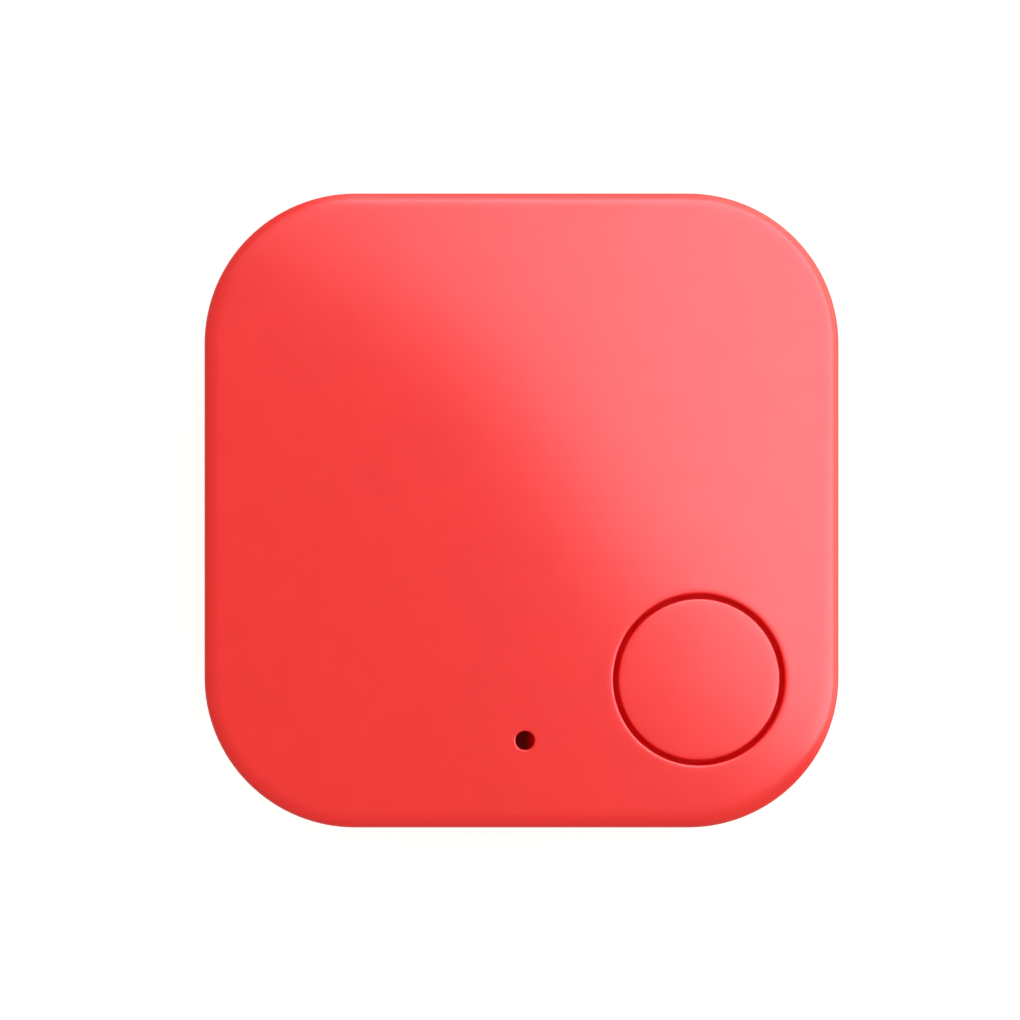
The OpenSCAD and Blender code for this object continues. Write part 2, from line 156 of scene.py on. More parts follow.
def noise(graph, place, size, detail=2, stretch=None):
    # soft noise whose blobs are about size mm across, stretched along an axis on request
    if stretch:
        place = graph.node("ShaderNodeMapping", {}, {"Vector": place, "Scale": stretch})
    return graph.node("ShaderNodeTexNoise", {}, {"Vector": place, "Scale": 1 / (size * mm), "Detail": detail})


def between(mask, low, high):
    # a number that runs from low to high as the mask goes from 0 to 1
    return mask * (high - low) + low


def blended(graph, mask, first, second):
    # a colour between two others
    mixed = graph.node("ShaderNodeMix", {"data_type": "RGBA"}, {"Factor": mask})
    ends = mixed.socket.node.inputs
    for socket, colour in zip([ends[6], ends[7]], (first, second)):
        if isinstance(colour, Wire):
            graph.tree.links.new(colour.socket, socket)
        else:
            socket.default_value = (*colour, 1)
    return Wire(graph, mixed.socket.node.outputs[2])


def ramp(graph, mask, *stops):
    return graph.node("ShaderNodeValToRGB", {"stops": stops}, {0: mask})


def bumped(graph, height, depth):
    # a bump whose full height is depth mm
    return graph.node("ShaderNodeBump", {}, {"Height": height, "Distance": depth * mm, "Strength": 1.0})


def axesOf(graph, vector):
    return graph.node("ShaderNodeSeparateXYZ", {}, {0: vector})


def smoothRise(graph, value, start, end):
    # eases from 0 to 1 as the value goes from start to end
    return graph.node("ShaderNodeMapRange", {"interpolation_type": "SMOOTHSTEP"}, {
        "Value": value, "From Min": start, "From Max": end})


moulding = {
    "colour": (0.83, 0.0050, 0.0055),
    "deepColour": (0.79, 0.0035, 0.0040),
    "grain": 0.09,          # size of the spark-eroded grain, mm
    "grainDepth": 0.0010,
    "drift": 6.0,           # sizes of the slow changes of colour and sheen, mm
    "cloud": 1.3,
    "driftShare": 0.65,
    "roughness": (0.23, 0.28),
    "index": 1.48,
    # painted glow: the inner faces' colours are a brighter red than the skin, for light that comes back
    # through the plastic in the recesses
    "innerPaintedGlow": ((0.98, 0.0010, 0.0040), (0.93, 0.0008, 0.0030)),
    "innerRoughness": (0.60, 0.72),
    "innerGloss": 0.10,
}


def redPlastic(graph, place):
    # satin moulded plastic: fine even grain, with slow drifts of colour and sheen
    grain = noise(graph, place, moulding["grain"], 1)
    drift = ramp(graph, noise(graph, place, moulding["drift"], 3), (0.35, 0), (0.65, 1))
    cloud = ramp(graph, noise(graph, place, moulding["cloud"], 2), (0.3, 0), (0.7, 1))
    mask = drift * moulding["driftShare"] + cloud * (1 - moulding["driftShare"])
    low, high = moulding["roughness"]
    return {
        "Base Color": blended(graph, mask, moulding["deepColour"], moulding["colour"]),
        "Roughness": between(grain * 0.5 + cloud * 0.5, low, high),
        "Normal": bumped(graph, grain, moulding["grainDepth"]),
    }


def redInsidePaintedGlow(graph, place):
    # the unpolished inner faces and the recesses: duller than the skin, and painted a brighter, deeper red
    # that stands in for light glowing back through the wall
    inner = graph.node("ShaderNodeAttribute", {"attribute_name": "inner"}).output("Fac")
    grain = noise(graph, place, moulding["grain"], 2)
    return inner, {
        # painted glow: the brighter red of the inner faces stands in for light coming through the wall
        "Base Color": blended(graph, grain, *moulding["innerPaintedGlow"]),
        "Roughness": between(grain, *moulding["innerRoughness"]),
        "Specular IOR Level": moulding["innerGloss"],
        "Normal": bumped(graph, grain, moulding["grainDepth"] * 2),
    }


patches = {"plastic": 9, "metal": 14, "turned": 3.0}    # slow patches: grains wide, or mm on turned metal


def makePlastic(first, second, roughness, grain, depth):
    def build(graph, place):
        fine = noise(graph, place, grain, 2)
        slow = noise(graph, place, grain * patches["plastic"], 2)
        return {
            "Base Color": blended(graph, slow, first, second),
            "Roughness": between(fine, *roughness),
            "Normal": bumped(graph, fine, depth),
        }
    return build


def makeMetal(first, second, roughness, size, depth, stretch=None):
    # metal whose fine lines run along the squeezed axis, or that is evenly cloudy without one
    def build(graph, place):
        lines = noise(graph, place, size, 2, stretch)
        slow = noise(graph, place, size * patches["metal"], 2)
        return {
            "Base Color": blended(graph, slow, first, second),
            "Roughness": between(lines * 0.6 + slow * 0.4, *roughness),
            "Normal": bumped(graph, lines, depth),
        }
    return build


def makeTurned(first, second, roughness, centre, pitch, depth):
    # sheet metal turned on a centre: fine rings round it
    def build(graph, place):
        axes = axesOf(graph, graph.node("ShaderNodeMapping", {}, {
            "Vector": place, "Location": (-centre.x, -centre.y, 0)}))
        level = graph.node("ShaderNodeCombineXYZ", {}, {0: axes.output("X"), 1: axes.output("Y")})
        reach = graph.node("ShaderNodeVectorMath", {"operation": "LENGTH"}, {0: level}).output("Value")
        ring = graph.node("ShaderNodeTexNoise", {"noise_dimensions": "1D"}, {
            "W": reach, "Scale": 1 / (pitch * mm), "Detail": 3})
        slow = noise(graph, place, patches["turned"], 3)
        return {
            "Base Color": blended(graph, slow, first, second),
            "Roughness": between(ring * 0.5 + slow * 0.5, *roughness),
            "Normal": bumped(graph, ring, depth),
        }
    return build


boardSkin = {
    "lacquer": ((0.006, 0.085, 0.030), (0.010, 0.120, 0.045)),
    "laminate": ((0.52, 0.43, 0.20), (0.30, 0.24, 0.09)),
    "weave": 0.35,          # sizes of the glass cloth's pattern under the lacquer and on the edges, mm
    "cloth": 0.12,
    "roughness": (0.65, 0.22),
    "depth": 0.004,
}


def solderMask(graph, place):
    # lacquer over the board's faces, bare laminate with its glass cloth on the cut edges
    facing = axesOf(graph, graph.node("ShaderNodeNewGeometry").output("True Normal"))
    flat = graph.node("ShaderNodeMath", {"operation": "ABSOLUTE"}, {0: facing.output("Z")})
    face = ramp(graph, flat, (0.45, 0), (0.55, 1))
    cloth = noise(graph, place, boardSkin["cloth"], 1, (1, 1, 5))
    weave = noise(graph, place, boardSkin["weave"], 2)
    laminate = blended(graph, cloth, *boardSkin["laminate"])
    lacquer = blended(graph, weave, *boardSkin["lacquer"])
    return {
        "Base Color": blended(graph, face, laminate, lacquer),
        "Roughness": between(face, *boardSkin["roughness"]) + weave * 0.1,
        "Normal": bumped(graph, weave, boardSkin["depth"]),
    }


foamPores = {
    "large": 0.42,          # sizes of the pores, mm
    "small": 0.18,
    "depth": 0.05,
    "walls": (0.035, 0.036, 0.040),
    # painted shade at the bottom of the pores
    "paintedPoreShade": (0.010, 0.010, 0.012),
}


def foamSkin(graph, place):
    # foam with pores of two sizes, darkened towards their floors with painted shade
    large, small = [graph.node("ShaderNodeTexVoronoi", {}, {
        "Vector": place, "Scale": 1 / (foamPores[size] * mm)}) for size in ("large", "small")]
    # painted shade: the deeper into a pore, the darker the colour
    depth = ramp(graph, large, (0.15, 0), (0.45, 1)) * 0.6 + ramp(graph, small, (0.1, 0), (0.5, 1)) * 0.4
    return {
        "Base Color": blended(graph, depth, foamPores["walls"], foamPores["paintedPoreShade"]),
        "Roughness": between(depth, 0.82, 0.98),
        "Normal": bumped(graph, 1 - depth, foamPores["depth"]),
    }


screen = {
    "thread": 0.09,         # from one thread to the next but one, mm
    "paintedGlowWidth": 0.6,       # how far right of the middle the painted red glow takes to come up, mm
    "dark": (0.10, 0.0008, 0.0008),
    # painted glow: the threads' colour on the right, for light from the port's lit red wall
    "paintedWallGlow": (0.62, 0.0020, 0.0030),
    "gaps": (0.06, 0.0006, 0.0006),
    "depth": 0.010,
    "gloss": 0.08,
}


def screenCloth(graph, place):
    # plain weave of dark threads, with a painted glow that turns them redder on the right, standing in for
    # light thrown by the port's lit wall
    axes = axesOf(graph, place)
    threads = []
    for axis in ("X", "Y"):
        turns = axes.output(axis) * (2 * math.pi / (screen["thread"] * mm))
        threads.append(graph.node("ShaderNodeMath", {"operation": "SINE"}, {0: turns}) * 0.5 + 0.5)
    weave = threads[0] * threads[1]
    middle = boxOf("port_screen")[2].x
    # painted glow: the threads turn redder towards the right of the screen
    tint = smoothRise(graph, axes.output("X"), middle * mm, (middle + screen["paintedGlowWidth"]) * mm)
    thread = blended(graph, tint, screen["dark"], screen["paintedWallGlow"])
    return {
        "Base Color": blended(graph, weave * 0.5, thread, screen["gaps"]),
        "Roughness": between(weave, 0.95, 0.85),
        "Normal": bumped(graph, weave, screen["depth"]),
    }


def makeCeramic(first, second, size, roughness):
    def build(graph, place):
        speckle = noise(graph, place, size, 4)
        return {
            "Base Color": blended(graph, ramp(graph, speckle, (0.35, 0), (0.65, 1)), first, second),
            "Roughness": between(speckle, *roughness),
            "Normal": bumped(graph, speckle, 0.003),
        }
    return build


def makeFinishes():
    cell, plate = boxOf("cell_can")[2] * mm, boxOf("piezo_plate")[2] * mm
    for name in ("red_front", "red_back", "red_button"):
        # under the skin finish, the inner faces and recesses get a duller finish with a painted red glow
        finish(name, redPlastic, redInsidePaintedGlow, IOR=moulding["index"])
    finish("foam", foamSkin)
    finish("screen_cloth", screenCloth, **{"Specular IOR Level": screen["gloss"]})
    finish("adhesive", makePlastic((0.80, 0.76, 0.62), (0.70, 0.66, 0.50), (0.45, 0.6), 0.3, 0.01))
    brass = ((0.78, 0.53, 0.20), (0.66, 0.42, 0.14))
    finish("brass_plate", makeTurned(*brass, (0.24, 0.36), plate, 0.05, 0.002), Metallic=1.0)
    silver = ((0.80, 0.79, 0.76), (0.70, 0.69, 0.66))
    finish("piezo_ceramic", makeTurned(*silver, (0.3, 0.45), plate, 0.09, 0.002), Metallic=0.85)
    gold = ((0.90, 0.66, 0.28), (0.80, 0.55, 0.20))
    finish("gold_spring", makeMetal(*gold, (0.18, 0.3), 0.05, 0.0015, (1, 6, 6)), Metallic=1.0)
    finish("gold_pad", makeMetal(*gold, (0.2, 0.34), 0.1, 0.003), Metallic=1.0)
    finish("solder_mask", solderMask, **{"Coat Weight": 0.25})
    finish("masked_copper", makePlastic((0.030, 0.20, 0.075), (0.045, 0.26, 0.10), (0.2, 0.3), 0.3, 0.003))
    finish("chip_black", makePlastic((0.012, 0.012, 0.013), (0.022, 0.022, 0.024), (0.42, 0.62), 0.06, 0.004))
    tin = ((0.72, 0.71, 0.69), (0.60, 0.60, 0.59))
    finish("tin", makeMetal(*tin, (0.22, 0.42), 0.12, 0.004), Metallic=1.0)
    finish("alumina", makeCeramic((0.30, 0.22, 0.12), (0.38, 0.29, 0.17), 0.08, (0.5, 0.7)))
    nickel = ((0.74, 0.70, 0.62), (0.62, 0.59, 0.53))
    finish("nickel_lid", makeMetal(*nickel, (0.2, 0.32), 0.05, 0.001, (8, 1, 1)), Metallic=1.0)
    finish("capacitor_tan", makeCeramic((0.34, 0.20, 0.10), (0.44, 0.28, 0.15), 0.05, (0.35, 0.5)))
    finish("resistor_black", makeCeramic((0.010, 0.010, 0.011), (0.020, 0.020, 0.022), 0.05, (0.25, 0.45)))
    finish("ferrite", makeCeramic((0.030, 0.030, 0.033), (0.055, 0.055, 0.060), 0.07, (0.4, 0.6)))
    finish("copper_wire", makeMetal((0.72, 0.30, 0.12), (0.56, 0.20, 0.07), (0.22, 0.35), 0.1, 0.002),
           Metallic=1.0, **{"Coat Weight": 0.5})
    nylon = ((0.015, 0.015, 0.017), (0.028, 0.028, 0.030))
    finish("switch_black", makePlastic(*nylon, (0.35, 0.5), 0.08, 0.003))
    steel = ((0.62, 0.62, 0.63), (0.50, 0.50, 0.52))
    finish("spring_steel", makeMetal(*steel, (0.2, 0.32), 0.04, 0.001, (6, 1, 1)), Metallic=1.0)
    finish("plunger_ivory", makePlastic((0.76, 0.70, 0.54), (0.70, 0.63, 0.46), (0.4, 0.55), 0.1, 0.003))
    finish("cell_steel", makeTurned(*steel, (0.18, 0.3), cell, 0.07, 0.0012), Metallic=1.0)
    finish("gasket", makePlastic((0.50, 0.50, 0.48), (0.42, 0.42, 0.40), (0.45, 0.6), 0.2, 0.003))
    finish("cell_cap_steel", makeTurned(*steel, (0.26, 0.4), cell, 0.12, 0.002), Metallic=1.0)
    finish("cathode", makeCeramic((0.010, 0.010, 0.011), (0.022, 0.021, 0.020), 0.09, (0.75, 0.95)))
    finish("separator", makePlastic((0.80, 0.80, 0.77), (0.70, 0.70, 0.68), (0.8, 0.95), 0.12, 0.01))
    soft = ((0.56, 0.57, 0.60), (0.40, 0.41, 0.44))
    finish("lithium", makeMetal(*soft, (0.35, 0.55), 0.3, 0.006), Metallic=1.0)


makeFinishes()
print("finishes:", len(finishes))


def filleted(corners, steps=6):
    # outline through corners of (x, y) or (x, y, radius), each radius turned as an arc
    points = []
    for index, (x, y, *rest) in enumerate(corners):
        here = Vector((x, y))
        if not rest:
            points.append(here)
            continue
        toLast = (Vector(corners[index - 1][:2]) - here).normalized()
        toNext = (Vector(corners[(index + 1) % len(corners)][:2]) - here).normalized()
        half = toLast.angle(toNext) / 2
        centre = here + (toLast + toNext).normalized() * rest[0] / math.sin(half)
        start = here + toLast * rest[0] / math.tan(half) - centre
        end = here + toNext * rest[0] / math.tan(half) - centre
        turn = math.atan2(start.x * end.y - start.y * end.x, start.dot(end))
        for step in range(steps + 1):
            angle = turn * step / steps
            points.append(centre + Vector((start.x * math.cos(angle) - start.y * math.sin(angle),
                                           start.x * math.sin(angle) + start.y * math.cos(angle))))
    return points


def newObject(name, mesh):
    made = bpy.data.objects.new(name, mesh)
    bpy.context.scene.collection.objects.link(made)
    return made


def fromBmesh(name, work):
    bmesh.ops.remove_doubles(work, verts=work.verts, dist=1e-7)
    bmesh.ops.recalc_face_normals(work, faces=work.faces)
    mesh = bpy.data.meshes.new(name)
    work.to_mesh(mesh)
    work.free()
    return newObject(name, mesh)


def turned(name, outline, centre, steps=96):
    # solid of revolution about an upright axis, from an outline of (radius, height) in mm
    work = bmesh.new()
    rows = []
    for radius, height in outline:
        count = steps if radius > 1e-6 else 1
        rows.append([work.verts.new(((centre[0] + radius * math.cos(2 * math.pi * k / steps)) * mm,
                                     (centre[1] + radius * math.sin(2 * math.pi * k / steps)) * mm,
                                     height * mm)) for k in range(count)])
    if len(rows[0]) > 1:
        rows.append(rows[0])
    for low, high in zip(rows, rows[1:]):
        for k in range(steps):
            ring = [low[k % len(low)], low[(k + 1) % steps % len(low)],
                    high[(k + 1) % steps % len(high)], high[k % len(high)]]
            corners = list(dict.fromkeys(ring))
            if len(corners) > 2:
                work.faces.new(corners)
    return fromBmesh(name, work)


def drawnUp(name, outline, floor, top):
    # prism: a flat outline drawn up from floor to top, all in mm
    work = bmesh.new()
    low, high = [[work.verts.new((x * mm, y * mm, z * mm)) for x, y in outline] for z in (floor, top)]
    work.faces.new(low)
    work.faces.new(high)
    for k in range(len(low)):
        after = (k + 1) % len(low)
        work.faces.new([low[k], low[after], high[after], high[k]])
    return fromBmesh(name, work)


def brick(name, low, high):
    return drawnUp(name, [(low[0], low[1]), (high[0], low[1]), (high[0], high[1]), (low[0], high[1])],
                   low[2], high[2])


def settled(piece):
    # the piece with its modifiers applied, as a plain mesh
    graph = bpy.context.evaluated_depsgraph_get()
    mesh = bpy.data.meshes.new_from_object(piece.evaluated_get(graph))
    piece.modifiers.clear()
    piece.data = mesh
    return piece


def combined(piece, tools, operation="UNION"):
    for tool in tools:
        cut = piece.modifiers.new("cut", "BOOLEAN")
        cut.operation = operation
        cut.solver = "MANIFOLD"
        cut.object = tool
        settled(piece)
        bpy.data.objects.remove(tool)
    return piece


def copied(node, name):
    # a merged copy of a CAD node's loose triangles
    work = bmesh.new()
    work.from_mesh(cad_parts[node].data)
    bmesh.ops.remove_doubles(work, verts=work.verts, dist=1e-7)
    bmesh.ops.dissolve_limit(work, angle_limit=math.radians(0.5), verts=work.verts, edges=work.edges)
    return fromBmesh(name, work)


def edged(piece, width, segments=2, angle=35):
    # small rounds on the piece's edges
    bevel = piece.modifiers.new("edge", "BEVEL")
    bevel.width = width * mm
    bevel.segments = segments
    bevel.limit_method = "ANGLE"
    bevel.angle_limit = math.radians(angle)
    bevel.harden_normals = False
    return settled(piece)


def markInner(piece, isSkin):
    # marks each face of a moulding that isn't part of its polished skin; these faces get the duller finish
    # with its painted red glow
    mark = piece.data.attributes.new("inner", "FLOAT", "FACE")
    for face, value in zip(piece.data.polygons, mark.data):
        value.value = 0.0 if isSkin(face.center / mm, face.normal) else 1.0


def placed(piece, body, slot, nodes=(), smooth=35):
    # final shading, finish, body and CAD nodes of a piece
    mesh = piece.data
    mesh.shade_smooth()
    mesh.set_sharp_from_angle(angle=math.radians(smooth))
    weigh = piece.modifiers.new("weigh", "WEIGHTED_NORMAL")
    weigh.keep_sharp = True
    settled(piece)
    piece.data.materials.clear()
    piece.data.materials.append(finishes[slot])
    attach(piece, body)
    if nodes:
        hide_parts(*nodes)
    return piece


def geometryTree(name, inputs):
    # an empty Geometry Nodes tree with named inputs; returns its graph and a way to reach each input
    tree = bpy.data.node_groups.new(name, "GeometryNodeTree")
    tree.interface.new_socket("Geometry", in_out="OUTPUT", socket_type="NodeSocketGeometry")
    tree.interface.new_socket("Geometry", in_out="INPUT", socket_type="NodeSocketGeometry")
    for label, kind in inputs.items():
        tree.interface.new_socket(label, in_out="INPUT", socket_type="NodeSocket" + kind)
    graph = Graph(tree)
    start = graph.node("NodeGroupInput")
    return graph, lambda label: start.output(label)


def closeTree(graph, geometry):
    # ends a tree: its copies are made real and get the finish
    real = graph.node("GeometryNodeRealizeInstances", {}, {0: geometry})
    paint = graph.node("NodeGroupInput").output("Finish")
    dressed = graph.node("GeometryNodeSetMaterial", {}, {0: real, "Material": paint})
    graph.node("NodeGroupOutput", {}, {0: dressed})
    return graph.tree


def grown(name, tree, values, base=None):
    # runs a Geometry Nodes tree with its inputs set, and keeps the result as a plain mesh
    piece = newObject(name, base or bpy.data.meshes.new(name))
    maker = piece.modifiers.new("maker", "NODES")
    maker.node_group = tree
    for item in tree.interface.items_tree:
        if item.in_out == "INPUT" and item.name in values:
            maker[item.identifier] = values[item.name]
    graph = bpy.context.evaluated_depsgraph_get()
    mesh = bpy.data.meshes.new_from_object(piece.evaluated_get(graph))
    bpy.data.objects.remove(piece)
    work = bmesh.new()
    work.from_mesh(mesh)
    return fromBmesh(name, work)


def sectionCurve(name, points):
    # a section for sweeping: x runs outwards from the path, y up (the sweep turns y over)
    curve = bpy.data.curves.new(name, "CURVE")
    curve.dimensions = "3D"
    line = curve.splines.new("POLY")
    line.points.add(len(points) - 1)
    for point, (x, y) in zip(line.points, points):
        point.co = (x * mm, -y * mm, 0, 1)
    return newObject(name, curve)


case = {
    "cornerRadius": 8.54,
    "frontRound": 0.9,
    "backRound": 1.1,
    "wall": 1.3,
    "lip": 0.55,            # thickness of the lip inside the seam
    "lipGap": 0.05,
    "seam": 3.1,            # height of the seam, and of the front shell's rim above it
    "rim": 3.22,
    "lipTop": 3.9,
    "floor": 0.9,           # inner faces of the back and of the front
    "ceiling": 5.1,
    "seamRound": 0.05,
    "lipRounds": (0.12, 0.08),
    "roofRound": 0.25,      # rounds in the inside corners
    "floorRound": 0.3,
    "holeChamfer": 0.05,
    "faceRing": 0.35,       # flat band kept next to the edge round
    "floorRing": 0.7,
    "cornerPoints": 32,
    "root": 0.3,            # how far what stands on a wall runs into it
    "cutPast": 1.0,         # how far a cutting tool runs past what it cuts
    "skinDepth": 0.02,      # how far inside the outline a face still counts as skin
}
button = {
    "cap": 4.57,
    "gap": 0.29,
    "mouth": 0.12,          # round of the opening's edge, and the flat ring round it
    "ring": 0.25,
    "edge": 0.14,
    "wall": 0.8,
    "nub": 1.2,
    "flange": 0.5,
    "flangeRound": 0.08,
    "coreRounds": (0.05, 0.2),      # at the flange's inner edge, and inside the cap and on the nub's tip
    "play": 0.04,           # between the flange and the front's inner face
    "dish": 0.03,
    "dishRings": 16,
    "skinDepth": 0.1,       # how far below the edge round the cap's side is still polished
}
port = {"x": 0.2, "y": -13.02, "radius": 0.55, "mouth": 0.08, "ring": 0.2}
guide = {"inner": 5.40, "outer": 5.95, "end": 4.31, "edge": 0.06}
seat = {"inner": 5.5, "outer": 6.3, "end": 4.55, "edge": 0.06}
cradle = {"inner": 10.15, "outer": 10.75, "top": 1.9, "notch": 4.8, "edge": 0.08, "leadIn": 0.15}
post = {"radius": 1.6, "edge": 0.1}
pry = {"width": 5, "height": 0.6}
bossPlaces = [(-13.05, 13.05), (13.05, 13.05), (-13.05, -13.05), (4.81, -14.74)]
boss = {
    "bore": 0.71,
    "boreFloor": 1.2,
    "outer": 1.21,
    "top": 3.6,
    "shoulder": 1.86,       # the wider foot that carries the board
    "board": 2.0,
    "leadIn": 0.1,
    "edges": (0.06, 0.08),  # of the shoulder and of the top
    "pin": 0.7,
    "pinEnd": 1.6,
    "pinRound": 0.25,
    "collarBore": 1.31,     # the collar round each pin, which presses on the board
    "collarEnd": 2.84,
}

width, length, height = (cadHigh - cadLow) / mm
buttonCentre = boxOf("button_cap")[2].xy
soundCentre = boxOf("piezo_plate")[2].xy
cellCentre = boxOf("cell_can")[2].xy
print("case", round(width, 2), "x", round(length, 2), "x", round(height, 2), "mm")


def shellTree(holes):
    # sweeps a wall section round the rounded square, and fills the two flat faces between the open edges
    inputs = {"Width": "Float", "Length": "Float", "Corner Radius": "Float", "Corner Points": "Int",
              "Outer Height": "Float", "Inner Height": "Float", "Finish": "Material"}
    for hole in holes:
        inputs.update({hole + " Section": "Object", hole + " Centre": "Vector", hole + " Radius": "Float"})
    graph, value = geometryTree("shell", inputs)
    square = graph.node("GeometryNodeCurvePrimitiveQuadrilateral", {}, {
        "Width": value("Width"), "Height": value("Length")})
    outline = graph.node("GeometryNodeFilletCurve", {"mode": "POLY"}, {
        "Curve": square, "Count": value("Corner Points"), "Radius": value("Corner Radius")})
    parts = [graph.node("GeometryNodeCurveToMesh", {}, {
        "Curve": outline, "Profile Curve": graph.node("NodeGroupInput")})]
    for hole in holes:
        circle = graph.node("GeometryNodeCurvePrimitiveCircle", {"mode": "RADIUS"}, {
            "Resolution": 128, "Radius": value(hole + " Radius")})
        ring = graph.node("GeometryNodeTransform", {}, {0: circle, "Translation": value(hole + " Centre")})
        section = graph.node("GeometryNodeObjectInfo", {}, {"Object": value(hole + " Section")})
        parts.append(graph.node("GeometryNodeCurveToMesh", {}, {
            "Curve": ring, "Profile Curve": section.output("Geometry")}))
    walls = graph.node("GeometryNodeJoinGeometry", {}, {0: parts})

    sides = graph.node("GeometryNodeInputMeshEdgeNeighbors")
    openEdge = graph.node("FunctionNodeCompare", {"data_type": "INT", "operation": "EQUAL"}, {2: sides, 3: 1})
    up = axesOf(graph, graph.node("GeometryNodeInputPosition")).output("Z")
    flats = []
    for level in (value("Outer Height"), value("Inner Height")):
        atLevel = graph.node("FunctionNodeCompare", {"data_type": "FLOAT", "operation": "EQUAL"}, {
            0: up, 1: level, "Epsilon": 1e-5})
        chosen = graph.node("FunctionNodeBooleanMath", {"operation": "AND"}, {0: openEdge, 1: atLevel})
        loops = graph.node("GeometryNodeMeshToCurve", {}, {"Mesh": walls, "Selection": chosen})
        filled = graph.node("GeometryNodeFillCurve", {"mode": "TRIANGLES"}, {"Curve": loops})
        lift = graph.node("ShaderNodeCombineXYZ", {}, {"Z": level})
        flats.append(graph.node("GeometryNodeTransform", {}, {0: filled, "Translation": lift}))
    joined = graph.node("GeometryNodeJoinGeometry", {}, {0: [walls] + flats})
    return closeTree(graph, graph.node("GeometryNodeMergeByDistance", {}, {0: joined, "Distance": 1e-6}))


def holeSection(name, mouth, ring):
    # section of the front round a hole: rounded outside, chamfered inside, with a flat ring on both faces
    reach, under, chamfer = mouth + ring, case["ceiling"], case["holeChamfer"]
    return sectionCurve(name, filleted([
        (reach, height), (0, height, mouth), (0, under + chamfer), (chamfer, under), (reach, under)],
        steps=5))


def outward(at):
    # how far a point in mm lies outside the case's outline, negative inside
    radius = case["cornerRadius"]
    x, y = abs(at.x) - width / 2 + radius, abs(at.y) - length / 2 + radius
    return math.hypot(max(x, 0), max(y, 0)) + min(max(x, y), 0) - radius


def outlineSizes():
    # the inputs that both shells share
    return {"Width": width * mm, "Length": length * mm, "Corner Radius": case["cornerRadius"] * mm,
            "Corner Points": case["cornerPoints"]}


def makeFrontShell():
    wall, rebate = case["wall"], case["wall"] - case["lip"] - case["lipGap"]
    outerInset, innerInset = case["frontRound"] + case["faceRing"], wall + case["faceRing"]
    wallSection = sectionCurve("frontSection", filleted([
        (-outerInset, height), (0, height, case["frontRound"]), (0, case["rim"], case["seamRound"]),
        (-rebate, case["rim"], case["seamRound"]), (-rebate, case["lipTop"] + case["lipGap"]),
        (-wall, case["lipTop"] + case["lipGap"], case["seamRound"]),
        (-wall, case["ceiling"], case["roofRound"]), (-innerInset, case["ceiling"])], steps=8))
    buttonSection = holeSection("buttonSection", button["mouth"], button["ring"])
    portSection = holeSection("portSection", port["mouth"], port["ring"])
    shell = grown("front_shell_moulding", shellTree(["Button", "Port"]), {
        **outlineSizes(), "Outer Height": height * mm, "Inner Height": case["ceiling"] * mm,
        "Finish": finishes["red_front"],
        "Button Section": buttonSection, "Button Centre": (*(buttonCentre * mm), 0),
        "Button Radius": (button["cap"] + button["gap"]) * mm,
        "Port Section": portSection, "Port Centre": (port["x"] * mm, port["y"] * mm, 0),
        "Port Radius": port["radius"] * mm}, wallSection.data)
    # collars and pins over the bosses, the guide round the button and the sounder's seat
    root = case["ceiling"] + case["root"]
    tools = []
    for place in bossPlaces:
        tools.append(turned("collar", filleted([
            (boss["collarBore"], boss["collarEnd"]), (boss["shoulder"], boss["collarEnd"], boss["edges"][1]),
            (boss["shoulder"], root), (boss["collarBore"], root)]), place, 48))
        tools.append(turned("pin", filleted([
            (0, boss["pinEnd"]), (boss["pin"], boss["pinEnd"], boss["pinRound"]), (boss["pin"], root),
            (0, root)]), place, 40))
    for centre, ring in ((buttonCentre, guide), (soundCentre, seat)):
        tools.append(turned("ring", filleted([
            (ring["inner"], ring["end"], ring["edge"]), (ring["outer"], ring["end"], ring["edge"]),
            (ring["outer"], root), (ring["inner"], root)]), centre, 128))
    combined(shell, tools)
    # skin is the outside and, near the top, what faces up or belongs to the edge round
    slack = case["skinDepth"]
    markInner(shell, lambda at, out: outward(at) > -slack or (
        at.z > height - case["frontRound"] - slack / 2 and (out.z > 0.5 or outward(at) > -outerInset)))
    placed(shell, "case_front", "red_front", ["front_shell"])
    for section in (wallSection, buttonSection, portSection):
        bpy.data.objects.remove(section)


